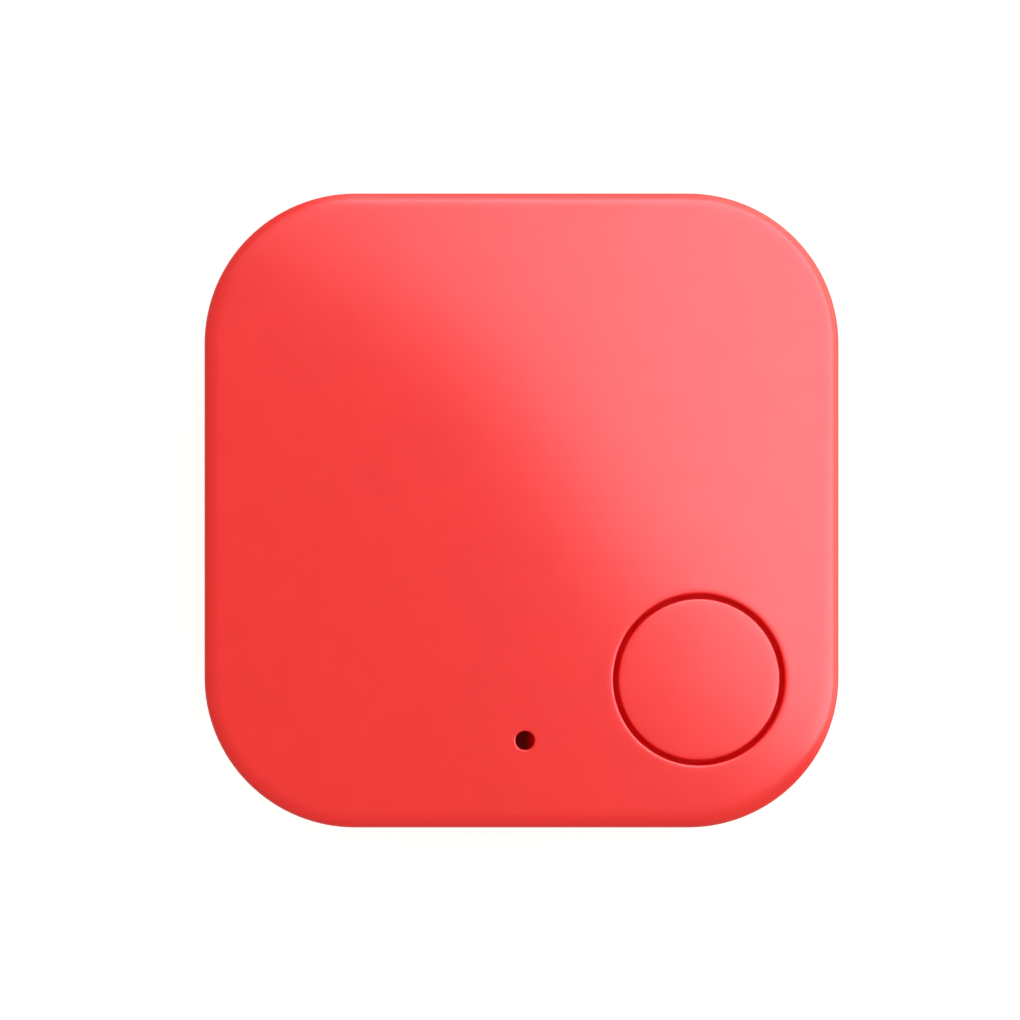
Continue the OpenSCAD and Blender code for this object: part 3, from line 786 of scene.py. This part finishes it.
def makeBackShell():
    wall, lipOuter = case["wall"], case["wall"] - case["lip"]
    lipRounds = case["lipRounds"]
    wallSection = sectionCurve("backSection", filleted([
        (-case["backRound"] - case["faceRing"], 0), (0, 0, case["backRound"]),
        (0, case["seam"], case["seamRound"]), (-lipOuter, case["seam"]),
        (-lipOuter, case["lipTop"], lipRounds[0]), (-wall, case["lipTop"], lipRounds[1]),
        (-wall, case["floor"], case["floorRound"]),
        (-wall - case["floorRing"], case["floor"])], steps=8))
    shell = grown("back_shell_moulding", shellTree([]), {
        **outlineSizes(), "Outer Height": 0.0, "Inner Height": case["floor"] * mm,
        "Finish": finishes["red_back"]}, wallSection.data)
    bpy.data.objects.remove(wallSection)

    root, past = case["floor"] - case["root"], case["cutPast"]
    ring = turned("cradle", filleted([
        (cradle["inner"], root), (cradle["outer"], root), (cradle["outer"], cradle["top"], cradle["edge"]),
        (cradle["inner"], cradle["top"], cradle["leadIn"])]), cellCentre, 160)
    notch, away = cradle["notch"] / 2, cellCentre.y - cradle["outer"]
    low, high = (-notch, away - past, root - past), (notch, away + 2 * past, cradle["top"] + past)
    combined(ring, [brick("notch", low, high)], "DIFFERENCE")
    tools = [ring, turned("post", filleted([
        (0, root), (post["radius"], root), (post["radius"], boss["board"], post["edge"]),
        (0, boss["board"])]), buttonCentre, 48)]
    for place in bossPlaces:
        tools.append(turned("boss", filleted([
            (0, root), (boss["shoulder"], root), (boss["shoulder"], boss["board"], boss["edges"][0]),
            (boss["outer"], boss["board"]), (boss["outer"], boss["top"], boss["edges"][1]),
            (boss["bore"], boss["top"], boss["leadIn"]), (boss["bore"], boss["boreFloor"]),
            (0, boss["boreFloor"])]), place, 48))
    combined(shell, tools)
    # the pry slot is cut into the wall outside the lip
    low = (-pry["width"] / 2, length / 2 - lipOuter, case["seam"] - pry["height"])
    high = (pry["width"] / 2, length / 2 + past, case["seam"] + past)
    combined(shell, [brick("slot", low, high)], "DIFFERENCE")
    slack = case["skinDepth"]
    markInner(shell, lambda at, out: outward(at) > -slack or at.z < case["floor"] - slack / 2)
    placed(shell, "case_back", "red_back", ["back_shell"])


def makeButton():
    # the cap's face is dished a little for the fingertip
    low, high, centre = boxOf("button_cap")
    top, nubEnd = high.z, low.z
    reach = (high.x - low.x) / 2
    ledge = case["ceiling"] - button["play"]
    flange = ledge - button["flange"]
    cap, core, inside = button["cap"], button["cap"] - button["wall"], top - button["wall"]
    rim, rings = cap - button["edge"], button["dishRings"]
    corner, (small, large) = button["flangeRound"], button["coreRounds"]
    dish = [(rim * k / rings, top - button["dish"] * (1 - (k / rings) ** 2)) for k in range(rings)]
    outline = dish[:-1] + filleted([
        dish[-1], (cap, top, button["edge"]), (cap, ledge), (reach, ledge, corner), (reach, flange, corner),
        (core, flange, small), (core, inside, large), (button["nub"], inside), (button["nub"], nubEnd, large),
        (0, nubEnd)], steps=8)
    piece = turned("button_moulding", outline, centre, 160)
    skin = top - button["edge"] - button["skinDepth"]
    markInner(piece, lambda at, out: at.z > skin and out.z > -0.1)
    placed(piece, "button", "red_button", ["button_cap"])


makeFrontShell()
makeBackShell()
makeButton()
print("case and button made")


foam = {"edge": 0.16, "rings": 22, "ripple": 0.018, "waves": (0.9, 2.3), "fill": 0.8}
sounder = {
    "plateEdge": 0.04,
    "silver": 4.05,         # the silver stops short of the ceramic's edge
    "silverStep": 0.15,     # its thickness, as a share of the ceramic's
    "silverEdge": 0.01,
    "ceramicEdge": 0.03,
    "adhesiveBore": 5.5,
    "screenEdge": 0.02,
}


def makeFoamPad():
    # die-cut foam disc: soft cut edges and faces that are never quite flat
    low, high, centre = boxOf("foam_pad")
    radius, edge = (high.x - low.x) / 2, foam["edge"]
    rings = [radius * k / foam["rings"] for k in range(foam["rings"])]
    outline = [(r, high.z) for r in rings] + filleted([
        (rings[-1], high.z), (radius, high.z, edge), (radius, low.z, edge), (rings[-1], low.z)])[1:-1]
    outline += [(r, low.z) for r in reversed(rings)]
    piece = turned("foam_cushion", outline, centre, 120)
    middle = (low.z + high.z) / 2
    for vertex in piece.data.vertices:
        at = vertex.co / mm
        dent = foam["ripple"] * abs(noiseAt(at * foam["waves"][0]) + 0.5 * noiseAt(at * foam["waves"][1]))
        vertex.co.z += (dent if at.z < middle else -dent) * mm
    placed(piece, "case_front", "foam", ["foam_pad"], smooth=60)


def makeSounder():
    low, high, centre = boxOf("piezo_plate")
    radius = (high.x - low.x) / 2
    edge = sounder["plateEdge"]
    placed(turned("sounder_plate", filleted([
        (0, low.z), (radius, low.z, edge), (radius, high.z, edge), (0, high.z)]), centre, 160),
        "case_front", "brass_plate", ["piezo_plate"])
    low, high, _ = boxOf("piezo_ceramic")
    radius, silver = (high.x - low.x) / 2, sounder["silver"]
    step = low.z + (high.z - low.z) * sounder["silverStep"]
    placed(turned("sounder_ceramic", filleted([
        (0, low.z), (silver, low.z), (silver, step, sounder["silverEdge"]),
        (radius, step, sounder["ceramicEdge"]), (radius, high.z), (0, high.z)]), centre, 128),
        "case_front", "piezo_ceramic", ["piezo_ceramic"])
    low, high, _ = boxOf("piezo_adhesive")
    radius, bore = (high.x - low.x) / 2, sounder["adhesiveBore"]
    placed(turned("sounder_adhesive", [(bore, low.z), (radius, low.z), (radius, high.z), (bore, high.z)],
                  centre, 128), "case_front", "adhesive", ["piezo_adhesive"])
    low, high, centre = boxOf("port_screen")
    radius = (high.x - low.x) / 2
    placed(turned("dust_screen", filleted([
        (0, low.z), (radius, low.z, sounder["screenEdge"]), (radius, high.z), (0, high.z)]), centre, 64),
        "case_front", "screen_cloth", ["port_screen"])


coinCell = {
    "sheet": 0.25,
    "shoulder": 0.6,        # round of the can's top edge, and the width of the seat inside it
    "shoulderHeight": 0.85,
    "crimp": 0.8,           # the rim turned in over the seal
    "crimpRound": 0.25,
    "mouthEdge": 0.05,
    "lidRound": 0.3,
    "lidEdge": 0.04,
    "lidInside": 0.1,
    "sealFoot": 0.5,
    "sealEdges": (0.1, 0.05),
    "discEdge": 0.05,
}
plusSign = {"arm": 1.5, "stroke": 0.36, "depth": 0.03, "reach": 7.6}


def makeCell():
    low, high, centre = boxOf("cell_can")
    radius, top, sheet = (high.x - low.x) / 2, high.z, coinCell["sheet"]
    mouth, inside, seatEdge = radius - coinCell["crimp"], radius - sheet, radius - coinCell["shoulder"]
    seatTop = top - coinCell["shoulderHeight"]
    can = turned("cell_cup", filleted([
        (0, top), (radius, top, coinCell["shoulder"]), (radius, low.z, coinCell["crimpRound"]),
        (mouth, low.z, coinCell["mouthEdge"]), (mouth, low.z + sheet), (inside, low.z + sheet),
        (inside, seatTop), (seatEdge, seatTop), (seatEdge, top - sheet), (0, top - sheet)], steps=10),
        centre, 192)
    # a plus sign is pressed into the can
    at = centre + Vector((0, plusSign["reach"], 0))
    arm, half = plusSign["arm"] / 2, plusSign["stroke"] / 2
    floor, past = top - plusSign["depth"], top + case["cutPast"]
    for x, y in ((arm, half), (half, arm)):
        stroke = brick("stroke", (at.x - x, at.y - y, floor), (at.x + x, at.y + y, past))
        combined(can, [stroke], "DIFFERENCE")
    placed(can, "cell", "cell_steel", ["cell_can"])

    low, high, _ = boxOf("cell_cap")
    radius, edge = (high.x - low.x) / 2, coinCell["lidEdge"]
    placed(turned("cell_lid", filleted([
        (0, low.z), (radius, low.z, coinCell["lidRound"]), (radius, high.z, edge),
        (radius - sheet, high.z, edge), (radius - sheet, low.z + sheet, coinCell["lidInside"]),
        (0, low.z + sheet)], steps=8), centre, 192),
        "cell", "cell_cap_steel", ["cell_cap"])
    low, high, _ = boxOf("cell_gasket")
    outer, inner, foot = (high.x - low.x) / 2, radius, radius - coinCell["sealFoot"]
    step, edges = high.z - coinCell["sealFoot"], coinCell["sealEdges"]
    placed(turned("cell_seal", filleted([
        (inner, low.z), (outer, low.z), (outer, high.z, edges[0]), (foot, high.z, edges[1]),
        (foot, step), (inner, step)]), centre, 160), "cell", "gasket", ["cell_gasket"])
    edge = coinCell["discEdge"]
    for slot in ("cathode", "separator", "lithium"):
        low, high, _ = boxOf("cell_" + slot)
        radius = (high.x - low.x) / 2
        placed(turned("cell_" + slot + "_disc", filleted([
            (0, low.z), (radius, low.z, edge), (radius, high.z, edge), (0, high.z)]), centre, 96),
            "cell", slot, ["cell_" + slot])


board = {
    "top": 2.8,
    "edge": 0.06,
    "copper": 0.04,         # how far the antenna and the pads stand up
    "masked": 0.03,         # thickness of the other tracks, and how much of it is down in the board
    "sunk": 0.01,
    "track": 0.2,
    "bend": 0.15,
    "ring": (10.95, 11.35, 11.75),      # radii of the tracks round the cell
    "ringTurn": (-58, 20, 6),           # their first and last angle and the step, degrees
}
via = {"radius": 0.22, "hole": 0.09, "height": 0.035, "edge": 0.01, "sunk": 0.005}
pads = {"count": 5, "first": 4.4, "pitch": 1.6, "radius": 0.5, "edge": 0.015}
chipSize = {"width": 5.0, "pitch": 0.5, "pins": 8, "pad": (0.25, 0.5), "under": 0.1, "padEdge": 0.012}
small = {
    "length": 1.0,
    "width": 0.5,
    "end": 0.25,            # length of each metal end
    "endEdge": 0.05,
    "capacitor": 0.5,       # heights
    "resistor": 0.35,
    "inset": 0.02,          # how much slimmer the body is than its ends, and its edge rounds
    "raised": 0.005,        # how far the body is off the board
    "row": 1.2,             # from one part to the next
}
coil = {"wire": 0.045, "turns": 6, "radius": 1.205, "bore": 0.8, "base": 3.1, "top": 3.65}
antenna = {"line": 0.35, "pitch": 1.0, "width": 3.4, "turns": 4, "feed": 1.1, "bend": 0.12}
# widths of the small rounds on the edges of the parts
edges = {"chip": 0.05, "tray": 0.04, "cover": 0.07, "driver": 0.07, "leads": 0.02, "core": 0.06}


def repeatTree():
    # copies of a part on every point, each turned by the point's own angle
    graph, value = geometryTree("repeat", {"Part": "Object", "Finish": "Material"})
    part = graph.node("GeometryNodeObjectInfo", {}, {"Object": value("Part")}).output("Geometry")
    turn = graph.node("GeometryNodeInputNamedAttribute", {"data_type": "FLOAT"}, {"Name": "turn"})
    spin = graph.node("ShaderNodeCombineXYZ", {}, {"Z": turn})
    return closeTree(graph, graph.node("GeometryNodeInstanceOnPoints", {}, {
        "Points": graph.node("NodeGroupInput"), "Instance": part, "Rotation": spin}))


def trackTree():
    # flat copper lines along curves, standing on the board
    graph, value = geometryTree("track", {
        "Line Width": "Float", "Line Height": "Float", "Bend Radius": "Float", "Finish": "Material"})
    bent = graph.node("GeometryNodeFilletCurve", {"mode": "POLY"}, {
        "Curve": graph.node("NodeGroupInput"), "Count": 4, "Radius": value("Bend Radius"),
        "Limit Radius": True})
    section = graph.node("GeometryNodeCurvePrimitiveQuadrilateral", {}, {
        "Width": value("Line Width"), "Height": value("Line Height")})
    return closeTree(graph, graph.node("GeometryNodeCurveToMesh", {}, {
        "Curve": bent, "Profile Curve": section, "Fill Caps": True}))


def windingTree():
    # one layer of round wire wound up a bobbin
    graph, value = geometryTree("winding", {
        "Radius": "Float", "Height": "Float", "Turns": "Float", "Wire Radius": "Float",
        "Finish": "Material"})
    helix = graph.node("GeometryNodeCurveSpiral", {}, {
        "Resolution": 40, "Rotations": value("Turns"), "Start Radius": value("Radius"),
        "End Radius": value("Radius"), "Height": value("Height")})
    wire = graph.node("GeometryNodeCurvePrimitiveCircle", {"mode": "RADIUS"}, {
        "Resolution": 10, "Radius": value("Wire Radius")})
    return closeTree(graph, graph.node("GeometryNodeCurveToMesh", {}, {
        "Curve": helix, "Profile Curve": wire, "Fill Caps": True}))


repeater = repeatTree()
tracker = trackTree()


def repeated(name, part, places, slot):
    # part is a small mesh about its own origin; places are (x, y, z, turn) in mm and radians
    points = bpy.data.meshes.new(name)
    points.from_pydata([(x * mm, y * mm, z * mm) for x, y, z, _ in places], [], [])
    turns = points.attributes.new("turn", "FLOAT", "POINT")
    for value, place in zip(turns.data, places):
        value.value = place[3]
    piece = grown(name, repeater, {"Part": part, "Finish": finishes[slot]}, points)
    bpy.data.objects.remove(part)
    return piece


def tracked(name, lines, breadth, level, thickness, bend, slot):
    # lines are lists of (x, y) in mm; the copper's underside is at level
    curve = bpy.data.curves.new(name, "CURVE")
    curve.dimensions = "3D"
    for line in lines:
        spline = curve.splines.new("POLY")
        spline.points.add(len(line) - 1)
        for point, (x, y) in zip(spline.points, line):
            point.co = (x * mm, y * mm, (level + thickness / 2) * mm, 1)
    return grown(name, tracker, {"Line Width": breadth * mm, "Line Height": thickness * mm,
                                 "Bend Radius": bend * mm, "Finish": finishes[slot]}, curve)


def softBrick(name, x, y, z, edge):
    # a small block that stands on the origin, with rounded edges
    return edged(brick(name, (-x / 2, -y / 2, 0), (x / 2, y / 2, z)), edge)


def merged(name, pieces):
    # one piece from several
    work = bmesh.new()
    for piece in pieces:
        work.from_mesh(piece.data)
        bpy.data.objects.remove(piece)
    return fromBmesh(name, work)


def onBoard(node, name, slot, edge, segments=2):
    # a piece of the back in the CAD node's own shape, with small rounds on its edges
    placed(edged(copied(node, name), edge, segments), "case_back", slot, [node])


def makeBoard():
    onBoard("circuit_board", "board_panel", "solder_mask", board["edge"], 1)
    low = boxOf("antenna_trace")[0]
    left, right = low.x + antenna["line"] / 2, low.x + antenna["width"] - antenna["line"] / 2
    start = low.y + antenna["feed"] + antenna["line"] / 2
    meander = [(left, low.y), (left, start)]
    for turn in range(antenna["turns"]):
        y = start + 2 * turn * antenna["pitch"]
        meander += [(right, y), (right, y + antenna["pitch"]), (left, y + antenna["pitch"])]
        if turn < antenna["turns"] - 1:
            meander.append((left, y + 2 * antenna["pitch"]))
    placed(tracked("antenna_line", [meander], antenna["line"], board["top"], board["copper"], antenna["bend"],
                   "masked_copper"), "case_back", "masked_copper", ["antenna_trace"])
    arm = boxOf("test_pads")[2].x
    rows = [cellCentre.y + pads["first"] - pads["pitch"] * k for k in range(pads["count"])]
    radius, tall = pads["radius"], board["copper"]
    pad = turned("pad", filleted([(0, 0), (radius, 0), (radius, tall, pads["edge"]), (0, tall)]), (0, 0), 32)
    placed(repeated("probe_pads", pad, [(arm, y, board["top"], 0) for y in rows], "gold_pad"),
           "case_back", "gold_pad", ["test_pads"])
    makeTracks(arm, rows)


def makeTracks(arm, rows):
    # tracks under the lacquer: (across, up) from the chip's middle, then round the cell and along the bottom
    chip = boxOf("radio_chip")[2]
    half, pitch = chipSize["width"] / 2 + 0.2, chipSize["pitch"]
    beside = [1.6 - small["row"] * k for k in range(3)]
    fan = [[(half, 1.25 - k * pitch), (half + 0.2, 1.25 - k * pitch), (3.3, y)] for k, y in enumerate(beside)]
    fan += [[(4.1, y), (4.7, y)] for y in beside]
    fan += [[(-1.25 + k * pitch, -half), (-1.25 + k * pitch, -half - 0.5 - 0.12 * k),
             (-1.9 + 0.75 * k, -half - 1.2 - 0.12 * k)] for k in range(5)]
    fan += [[(-1.25 + k * pitch, half), (-1.25 + k * pitch, half + 0.4),
             (-1.4 + 0.62 * k, half + 0.75)] for k in range(4)]
    lines = [[(chip.x + x, chip.y + y) for x, y in line] for line in fan]
    first, last, step = board["ringTurn"]
    turns = [math.radians(angle) for angle in range(first, last + 1, step)]
    lines += [[(cellCentre.x + reach * math.cos(a), cellCentre.y + reach * math.sin(a)) for a in turns]
              for reach in board["ring"]]
    lines += [[(arm - 1.0, y), (arm - 0.55, y)] for y in rows]
    lines += [[(-9.2 + 0.5 * k, -15.2 - 0.3 * k), (2.2, -15.2 - 0.3 * k), (2.8 + 0.2 * k, -14.2)]
              for k in range(3)]
    placed(tracked("board_tracks", lines, board["track"], board["top"] - board["sunk"], board["masked"],
                   board["bend"], "masked_copper"), "case_back", "masked_copper")

    tall, edge = via["height"], via["edge"]
    eyelet = turned("via", filleted([
        (via["hole"], 0), (via["radius"], 0), (via["radius"], tall, edge), (via["hole"], tall, edge)],
        steps=1), (0, 0), 14)
    spots = [(chip.x + 4.7, chip.y + y) for y in beside]
    spots += [(15.6, cellCentre.y - 11.5 - 0.8 * k) for k in range(4)]
    spots += [(-15.6, -9.6 - 0.9 * k) for k in range(3)]
    spots += [(-10.4 + 0.9 * k, -15.9) for k in range(4)]
    level = board["top"] - via["sunk"]
    placed(repeated("board_vias", eyelet, [(x, y, level, 0) for x, y in spots], "gold_pad"),
           "case_back", "gold_pad")


def makeChips():
    onBoard("radio_chip", "chip_package", "chip_black", edges["chip"])
    chip = boxOf("radio_chip")[2]
    pins, out = chipSize["pins"], chipSize["width"] / 2 - chipSize["under"]
    places = []
    for side in range(4):
        angle = math.pi / 2 * side
        for k in range(pins):
            along = (k - (pins - 1) / 2) * chipSize["pitch"]
            places.append((chip.x + along * math.cos(angle) - out * math.sin(angle),
                           chip.y + along * math.sin(angle) + out * math.cos(angle), board["top"], angle))
    pad = softBrick("pad", *chipSize["pad"], board["copper"], chipSize["padEdge"])
    placed(repeated("chip_pads", pad, places, "tin"), "case_back", "tin", ["chip_terminals"])

    onBoard("crystal_bases", "crystal_trays", "alumina", edges["tray"])
    onBoard("crystal_lids", "crystal_covers", "nickel_lid", edges["cover"], 3)
    onBoard("transistor_body", "driver_package", "chip_black", edges["driver"])
    onBoard("transistor_leads", "driver_leads", "tin", edges["leads"])

    # places of the small parts: beside and above the chip, near the sounder's springs and by the cell
    row, arm = small["row"], boxOf("test_pads")[2].x - 1.3
    sound, cell = soundCentre, cellCentre.y
    capacitors = [(chip.x + 3.7, chip.y + 1.6 - row * k) for k in range(3)]
    capacitors += [(chip.x - 1.8 + row * k, chip.y + 3.4) for k in range(4)]
    capacitors += [(arm, cell - 3.6 - row * k) for k in range(4)]
    resistors = [(sound.x - 3.4 + 1.5 * row * k, sound.y + 2.4) for k in range(3)]
    resistors += [(arm - 1.8, cell - 4.8 - row * k) for k in range(2)]
    middle, inset = small["length"] - 2 * small["end"], small["inset"]
    ends = []
    for name, slot, spots, tall, node in (
            ("capacitor_blocks", "capacitor_tan", capacitors, small["capacitor"], "capacitor_bodies"),
            ("resistor_blocks", "resistor_black", resistors, small["resistor"], "resistor_bodies")):
        block = softBrick("block", middle, small["width"] - inset, tall - inset, inset)
        placed(repeated(name, block, [(x, y, board["top"] + small["raised"], 0) for x, y in spots], slot),
               "case_back", slot, [node])
        cap = softBrick("cap", small["end"], small["width"], tall, small["endEdge"])
        shift = (small["length"] - small["end"]) / 2
        ends.append(repeated("ends", cap, [(x + side * shift, y, board["top"], 0)
                                           for x, y in spots for side in (-1, 1)], "tin"))
    placed(merged("end_terminals", ends), "case_back", "tin", ["end_caps"])


def makeInductor():
    onBoard("inductor_core", "coil_core", "ferrite", edges["core"])
    centre = boxOf("inductor_core")[2]
    wire = coil["wire"]
    winding = grown("helix", windingTree(), {
        "Radius": coil["radius"] * mm, "Height": (coil["top"] - coil["base"] - 2 * wire) * mm,
        "Turns": float(coil["turns"]), "Wire Radius": wire * mm, "Finish": finishes["copper_wire"]})
    winding.data.transform(Matrix.Translation(Vector((centre.x, centre.y, coil["base"] + wire)) * mm))
    under = turned("under", filleted([
        (coil["bore"], coil["base"]), (coil["radius"], coil["base"]), (coil["radius"], coil["top"]),
        (coil["bore"], coil["top"])]), centre, 64)
    placed(merged("coil_wire", [winding, under]), "case_back", "copper_wire", ["inductor_winding"])


switch = {
    "dome": 1.8,
    "domeRings": 16,
    "rise": 0.35,
    "sheet": 0.07,
    "base": 3.1,
    "travel": 0.25,
    "stem": 1.05,
    "lid": 0.15,            # thickness of the cover, and the play under it
    "play": 0.04,
    "stemEdges": (0.05, 0.12),
    "bodyEdge": 0.06,
    "metalEdge": 0.03,
}


def makeSwitch():
    centre = boxOf("switch_dome")[2]
    onBoard("switch_housing", "switch_body", "switch_black", switch["bodyEdge"])
    onBoard("switch_terminals", "switch_feet", "tin", switch["metalEdge"])
    onBoard("switch_cover", "switch_lid", "spring_steel", switch["metalEdge"])
    # the dome is a shallow cap of a ball, of even thickness
    dome, rise, sheet, rings = switch["dome"], switch["rise"], switch["sheet"], switch["domeRings"]
    curve = (dome ** 2 + rise ** 2) / (2 * rise)
    middle = switch["base"] + rise - curve
    outer = [(dome * k / rings, middle + math.sqrt(curve ** 2 - (dome * k / rings) ** 2))
             for k in range(rings + 1)]
    inner = [(r, z - sheet) for r, z in reversed(outer) if z - sheet > switch["base"]]
    rim = math.sqrt((curve - sheet) ** 2 - (switch["base"] - middle) ** 2)
    piece = turned("switch_disc", outer + [(rim, switch["base"])] + inner, centre, 72)
    placed(piece, "case_back", "spring_steel", ["switch_dome"])
    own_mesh(piece)
    low, high, centre = boxOf("switch_plunger")
    head, stem = (high.x - low.x) / 2, switch["stem"]
    shoulder = boxOf("switch_cover")[1].z - switch["lid"] - switch["play"]
    edge, tip = switch["stemEdges"]
    placed(turned("switch_stem", filleted([
        (0, low.z), (head, low.z, edge), (head, shoulder, edge), (stem, shoulder), (stem, high.z, tip),
        (0, high.z)]), centre, 64), "plunger", "plunger_ivory", ["switch_plunger"])


def makeContacts():
    for node, name in (("positive_contacts", "plus_fingers"), ("negative_contact", "minus_strip"),
                       ("piezo_springs", "sounder_springs")):
        onBoard(node, name, "gold_spring", switch["metalEdge"])


makeFoamPad()
makeSounder()
print("sounder and pads made")
makeCell()
print("cell made")
makeBoard()
makeChips()
makeInductor()
print("board made")
makeSwitch()
makeContacts()
print("switch and contacts made")


studio = {
    "lens": 150,            # mm, on a 36 mm sensor
    "frameWidth": 57.915,   # what the picture spans across the widest outline, mm
    "aim": (-0.653, 0.028),
    "outlineHeight": 5.3,
    "sky": (0.89, 0.19, 0.22),      # the surround's glow: level, gain upwards, gain to the lit corner
    "skyTint": (1.0, 1.0, 0.90),
    "below": 0.6,                   # share of it that comes from below the horizon
    "rim": 2.6,                     # extra glow near the horizon behind the lit corner
    "bandSide": (0.15, 0.85),       # where that glow comes up: towards the corner, from below, from above
    "bandHeight": ((-0.95, -0.1), (0.30, 0.12)),
    "lit": 38,                      # direction of the lit corner, degrees
    "card": {                       # places are where the card's mirror image lies on the face, mm
        "height": 40,
        "glow": (2.05, 9.45),       # at the left and at the right edge of the face
        "lean": 0.22,               # how much of that gain also goes up the face
        "tint": (0.93, 0.93, 1.0),
        "edge": [(-60, 40), (-15, 16.5), (-8, 12.7), (-2, 9), (3.3, 1.5), (5.6, -2.7), (9.5, -6.5),
                 (11.5, -10.3), (15.5, -14), (40, -28)],
        "far": [(160, -60), (160, 160), (-60, 160)],
    },
    "tableSize": 1200,
    "tableColours": ((0.60, 0.60, 0.60), (0.64, 0.64, 0.64)),
    "tableGlow": 0.62,
    "tableGap": 0.02,
    "wallReach": 1150,
    "wallHeight": 2500,
    "wallFoot": -10,
    "wallGlow": 1.1,
}


def makeFloor():
    # white table just under the tag, clear when it is looked at from below
    work = bmesh.new()
    bmesh.ops.create_grid(work, x_segments=1, y_segments=1, size=studio["tableSize"] * mm)
    floor = fromBmesh("floor", work)
    floor.location.z = cadLow.z - studio["tableGap"] * mm
    made, graph = emptyMaterial("white_table")
    place = graph.node("ShaderNodeTexCoord").output("Object")
    cloud = noise(graph, place, 40, 2)
    shader = graph.node("ShaderNodeBsdfPrincipled", {}, {
        "Base Color": blended(graph, cloud, *studio["tableColours"]), "Roughness": 0.9,
        "Specular IOR Level": 0.1, "Emission Color": (1, 1, 1, 1), "Emission Strength": studio["tableGlow"]})
    back = graph.node("ShaderNodeNewGeometry").output("Backfacing")
    clear = graph.node("ShaderNodeBsdfTransparent")
    mixed = graph.node("ShaderNodeMixShader", {}, {0: back, 1: shader, 2: clear})
    graph.node("ShaderNodeOutputMaterial", {}, {"Surface": mixed})
    floor.data.materials.append(made)
    floor.visible_diffuse = False
    floor.visible_glossy = False


def makeBackdrop():
    # plain white wall far behind the table, all round, which only the camera sees
    low, high, reach = studio["wallFoot"], studio["wallHeight"], studio["wallReach"]
    wall = turned("backdrop", [(reach, low), (reach + 1, low), (reach + 1, high), (reach, high)], (0, 0), 48)
    glow, graph = emptyMaterial("white_wall")
    light = graph.node("ShaderNodeEmission", {}, {"Color": (1, 1, 1, 1), "Strength": studio["wallGlow"]})
    graph.node("ShaderNodeOutputMaterial", {}, {"Surface": light})
    wall.data.materials.append(glow)
    for ray in ("visible_diffuse", "visible_glossy", "visible_transmission", "visible_shadow"):
        setattr(wall, ray, False)


def makeSurround():
    # soft light from all round, a little stronger from above and towards the lit corner, with a band of
    # extra glow low behind that corner
    level, up, across = studio["sky"]
    world = bpy.data.worlds.new("surround")
    world.use_nodes = True
    world.node_tree.nodes.clear()
    graph = Graph(world.node_tree)
    toward = axesOf(graph, graph.node("ShaderNodeTexCoord").output("Generated"))
    upward = toward.output("Z")
    slant = math.radians(studio["lit"])
    side = toward.output("X") * math.cos(slant) + toward.output("Y") * math.sin(slant)
    over = graph.node("ShaderNodeMapRange", {}, {
        "Value": upward, "From Min": -0.25, "From Max": 0.05, "To Min": studio["below"], "To Max": 1.0})
    band = smoothRise(graph, side, *studio["bandSide"])
    for ends in studio["bandHeight"]:
        band = band * smoothRise(graph, upward, *ends)
    glow = (upward * up + side * across + level) * over + band * studio["rim"]
    light = graph.node("ShaderNodeBackground", {}, {"Color": (*studio["skyTint"], 1), "Strength": glow})
    graph.node("ShaderNodeOutputWorld", {}, {"Surface": light})
    bpy.context.scene.world = world


def makeCamera():
    camera = bpy.data.cameras.new("camera")
    camera.lens = studio["lens"]
    camera.clip_start = 5 * mm
    made = newObject("camera", camera)
    distance = studio["frameWidth"] * studio["lens"] / camera.sensor_width
    made.location = Vector((*studio["aim"], studio["outlineHeight"] + distance)) * mm
    bpy.context.scene.camera = made


def makeLightCard():
    # glowing card over the lit side, seen only as a sheen in what is glossy; its near edge is bent
    card = studio["card"]
    camera = bpy.context.scene.camera.location / mm
    spread = (camera.z - height + card["height"]) / (camera.z - height)
    work = bmesh.new()
    corners = []
    for spot in card["edge"] + card["far"]:
        x, y = camera.xy + (Vector(spot) - camera.xy) * spread
        corners.append(work.verts.new(Vector((x, y, height + card["height"])) * mm))
    work.faces.new(corners)
    made = fromBmesh("lightCard", work)
    glow, graph = emptyMaterial("card_glow")
    across = axesOf(graph, graph.node("ShaderNodeTexCoord").output("Object"))
    reach, (start, end) = width / 2 * spread * mm, card["glow"]
    gain = graph.node("ShaderNodeMapRange", {}, {
        "Value": across.output("X") + across.output("Y") * card["lean"],
        "From Min": -reach, "From Max": reach, "To Min": start, "To Max": end})
    light = graph.node("ShaderNodeEmission", {}, {"Color": (*card["tint"], 1), "Strength": gain})
    graph.node("ShaderNodeOutputMaterial", {}, {"Surface": light})
    made.data.materials.append(glow)
    made.visible_camera = False
    made.visible_diffuse = False
    made.visible_shadow = False


makeFloor()
makeBackdrop()
makeSurround()
makeCamera()
makeLightCard()
print("stage set")
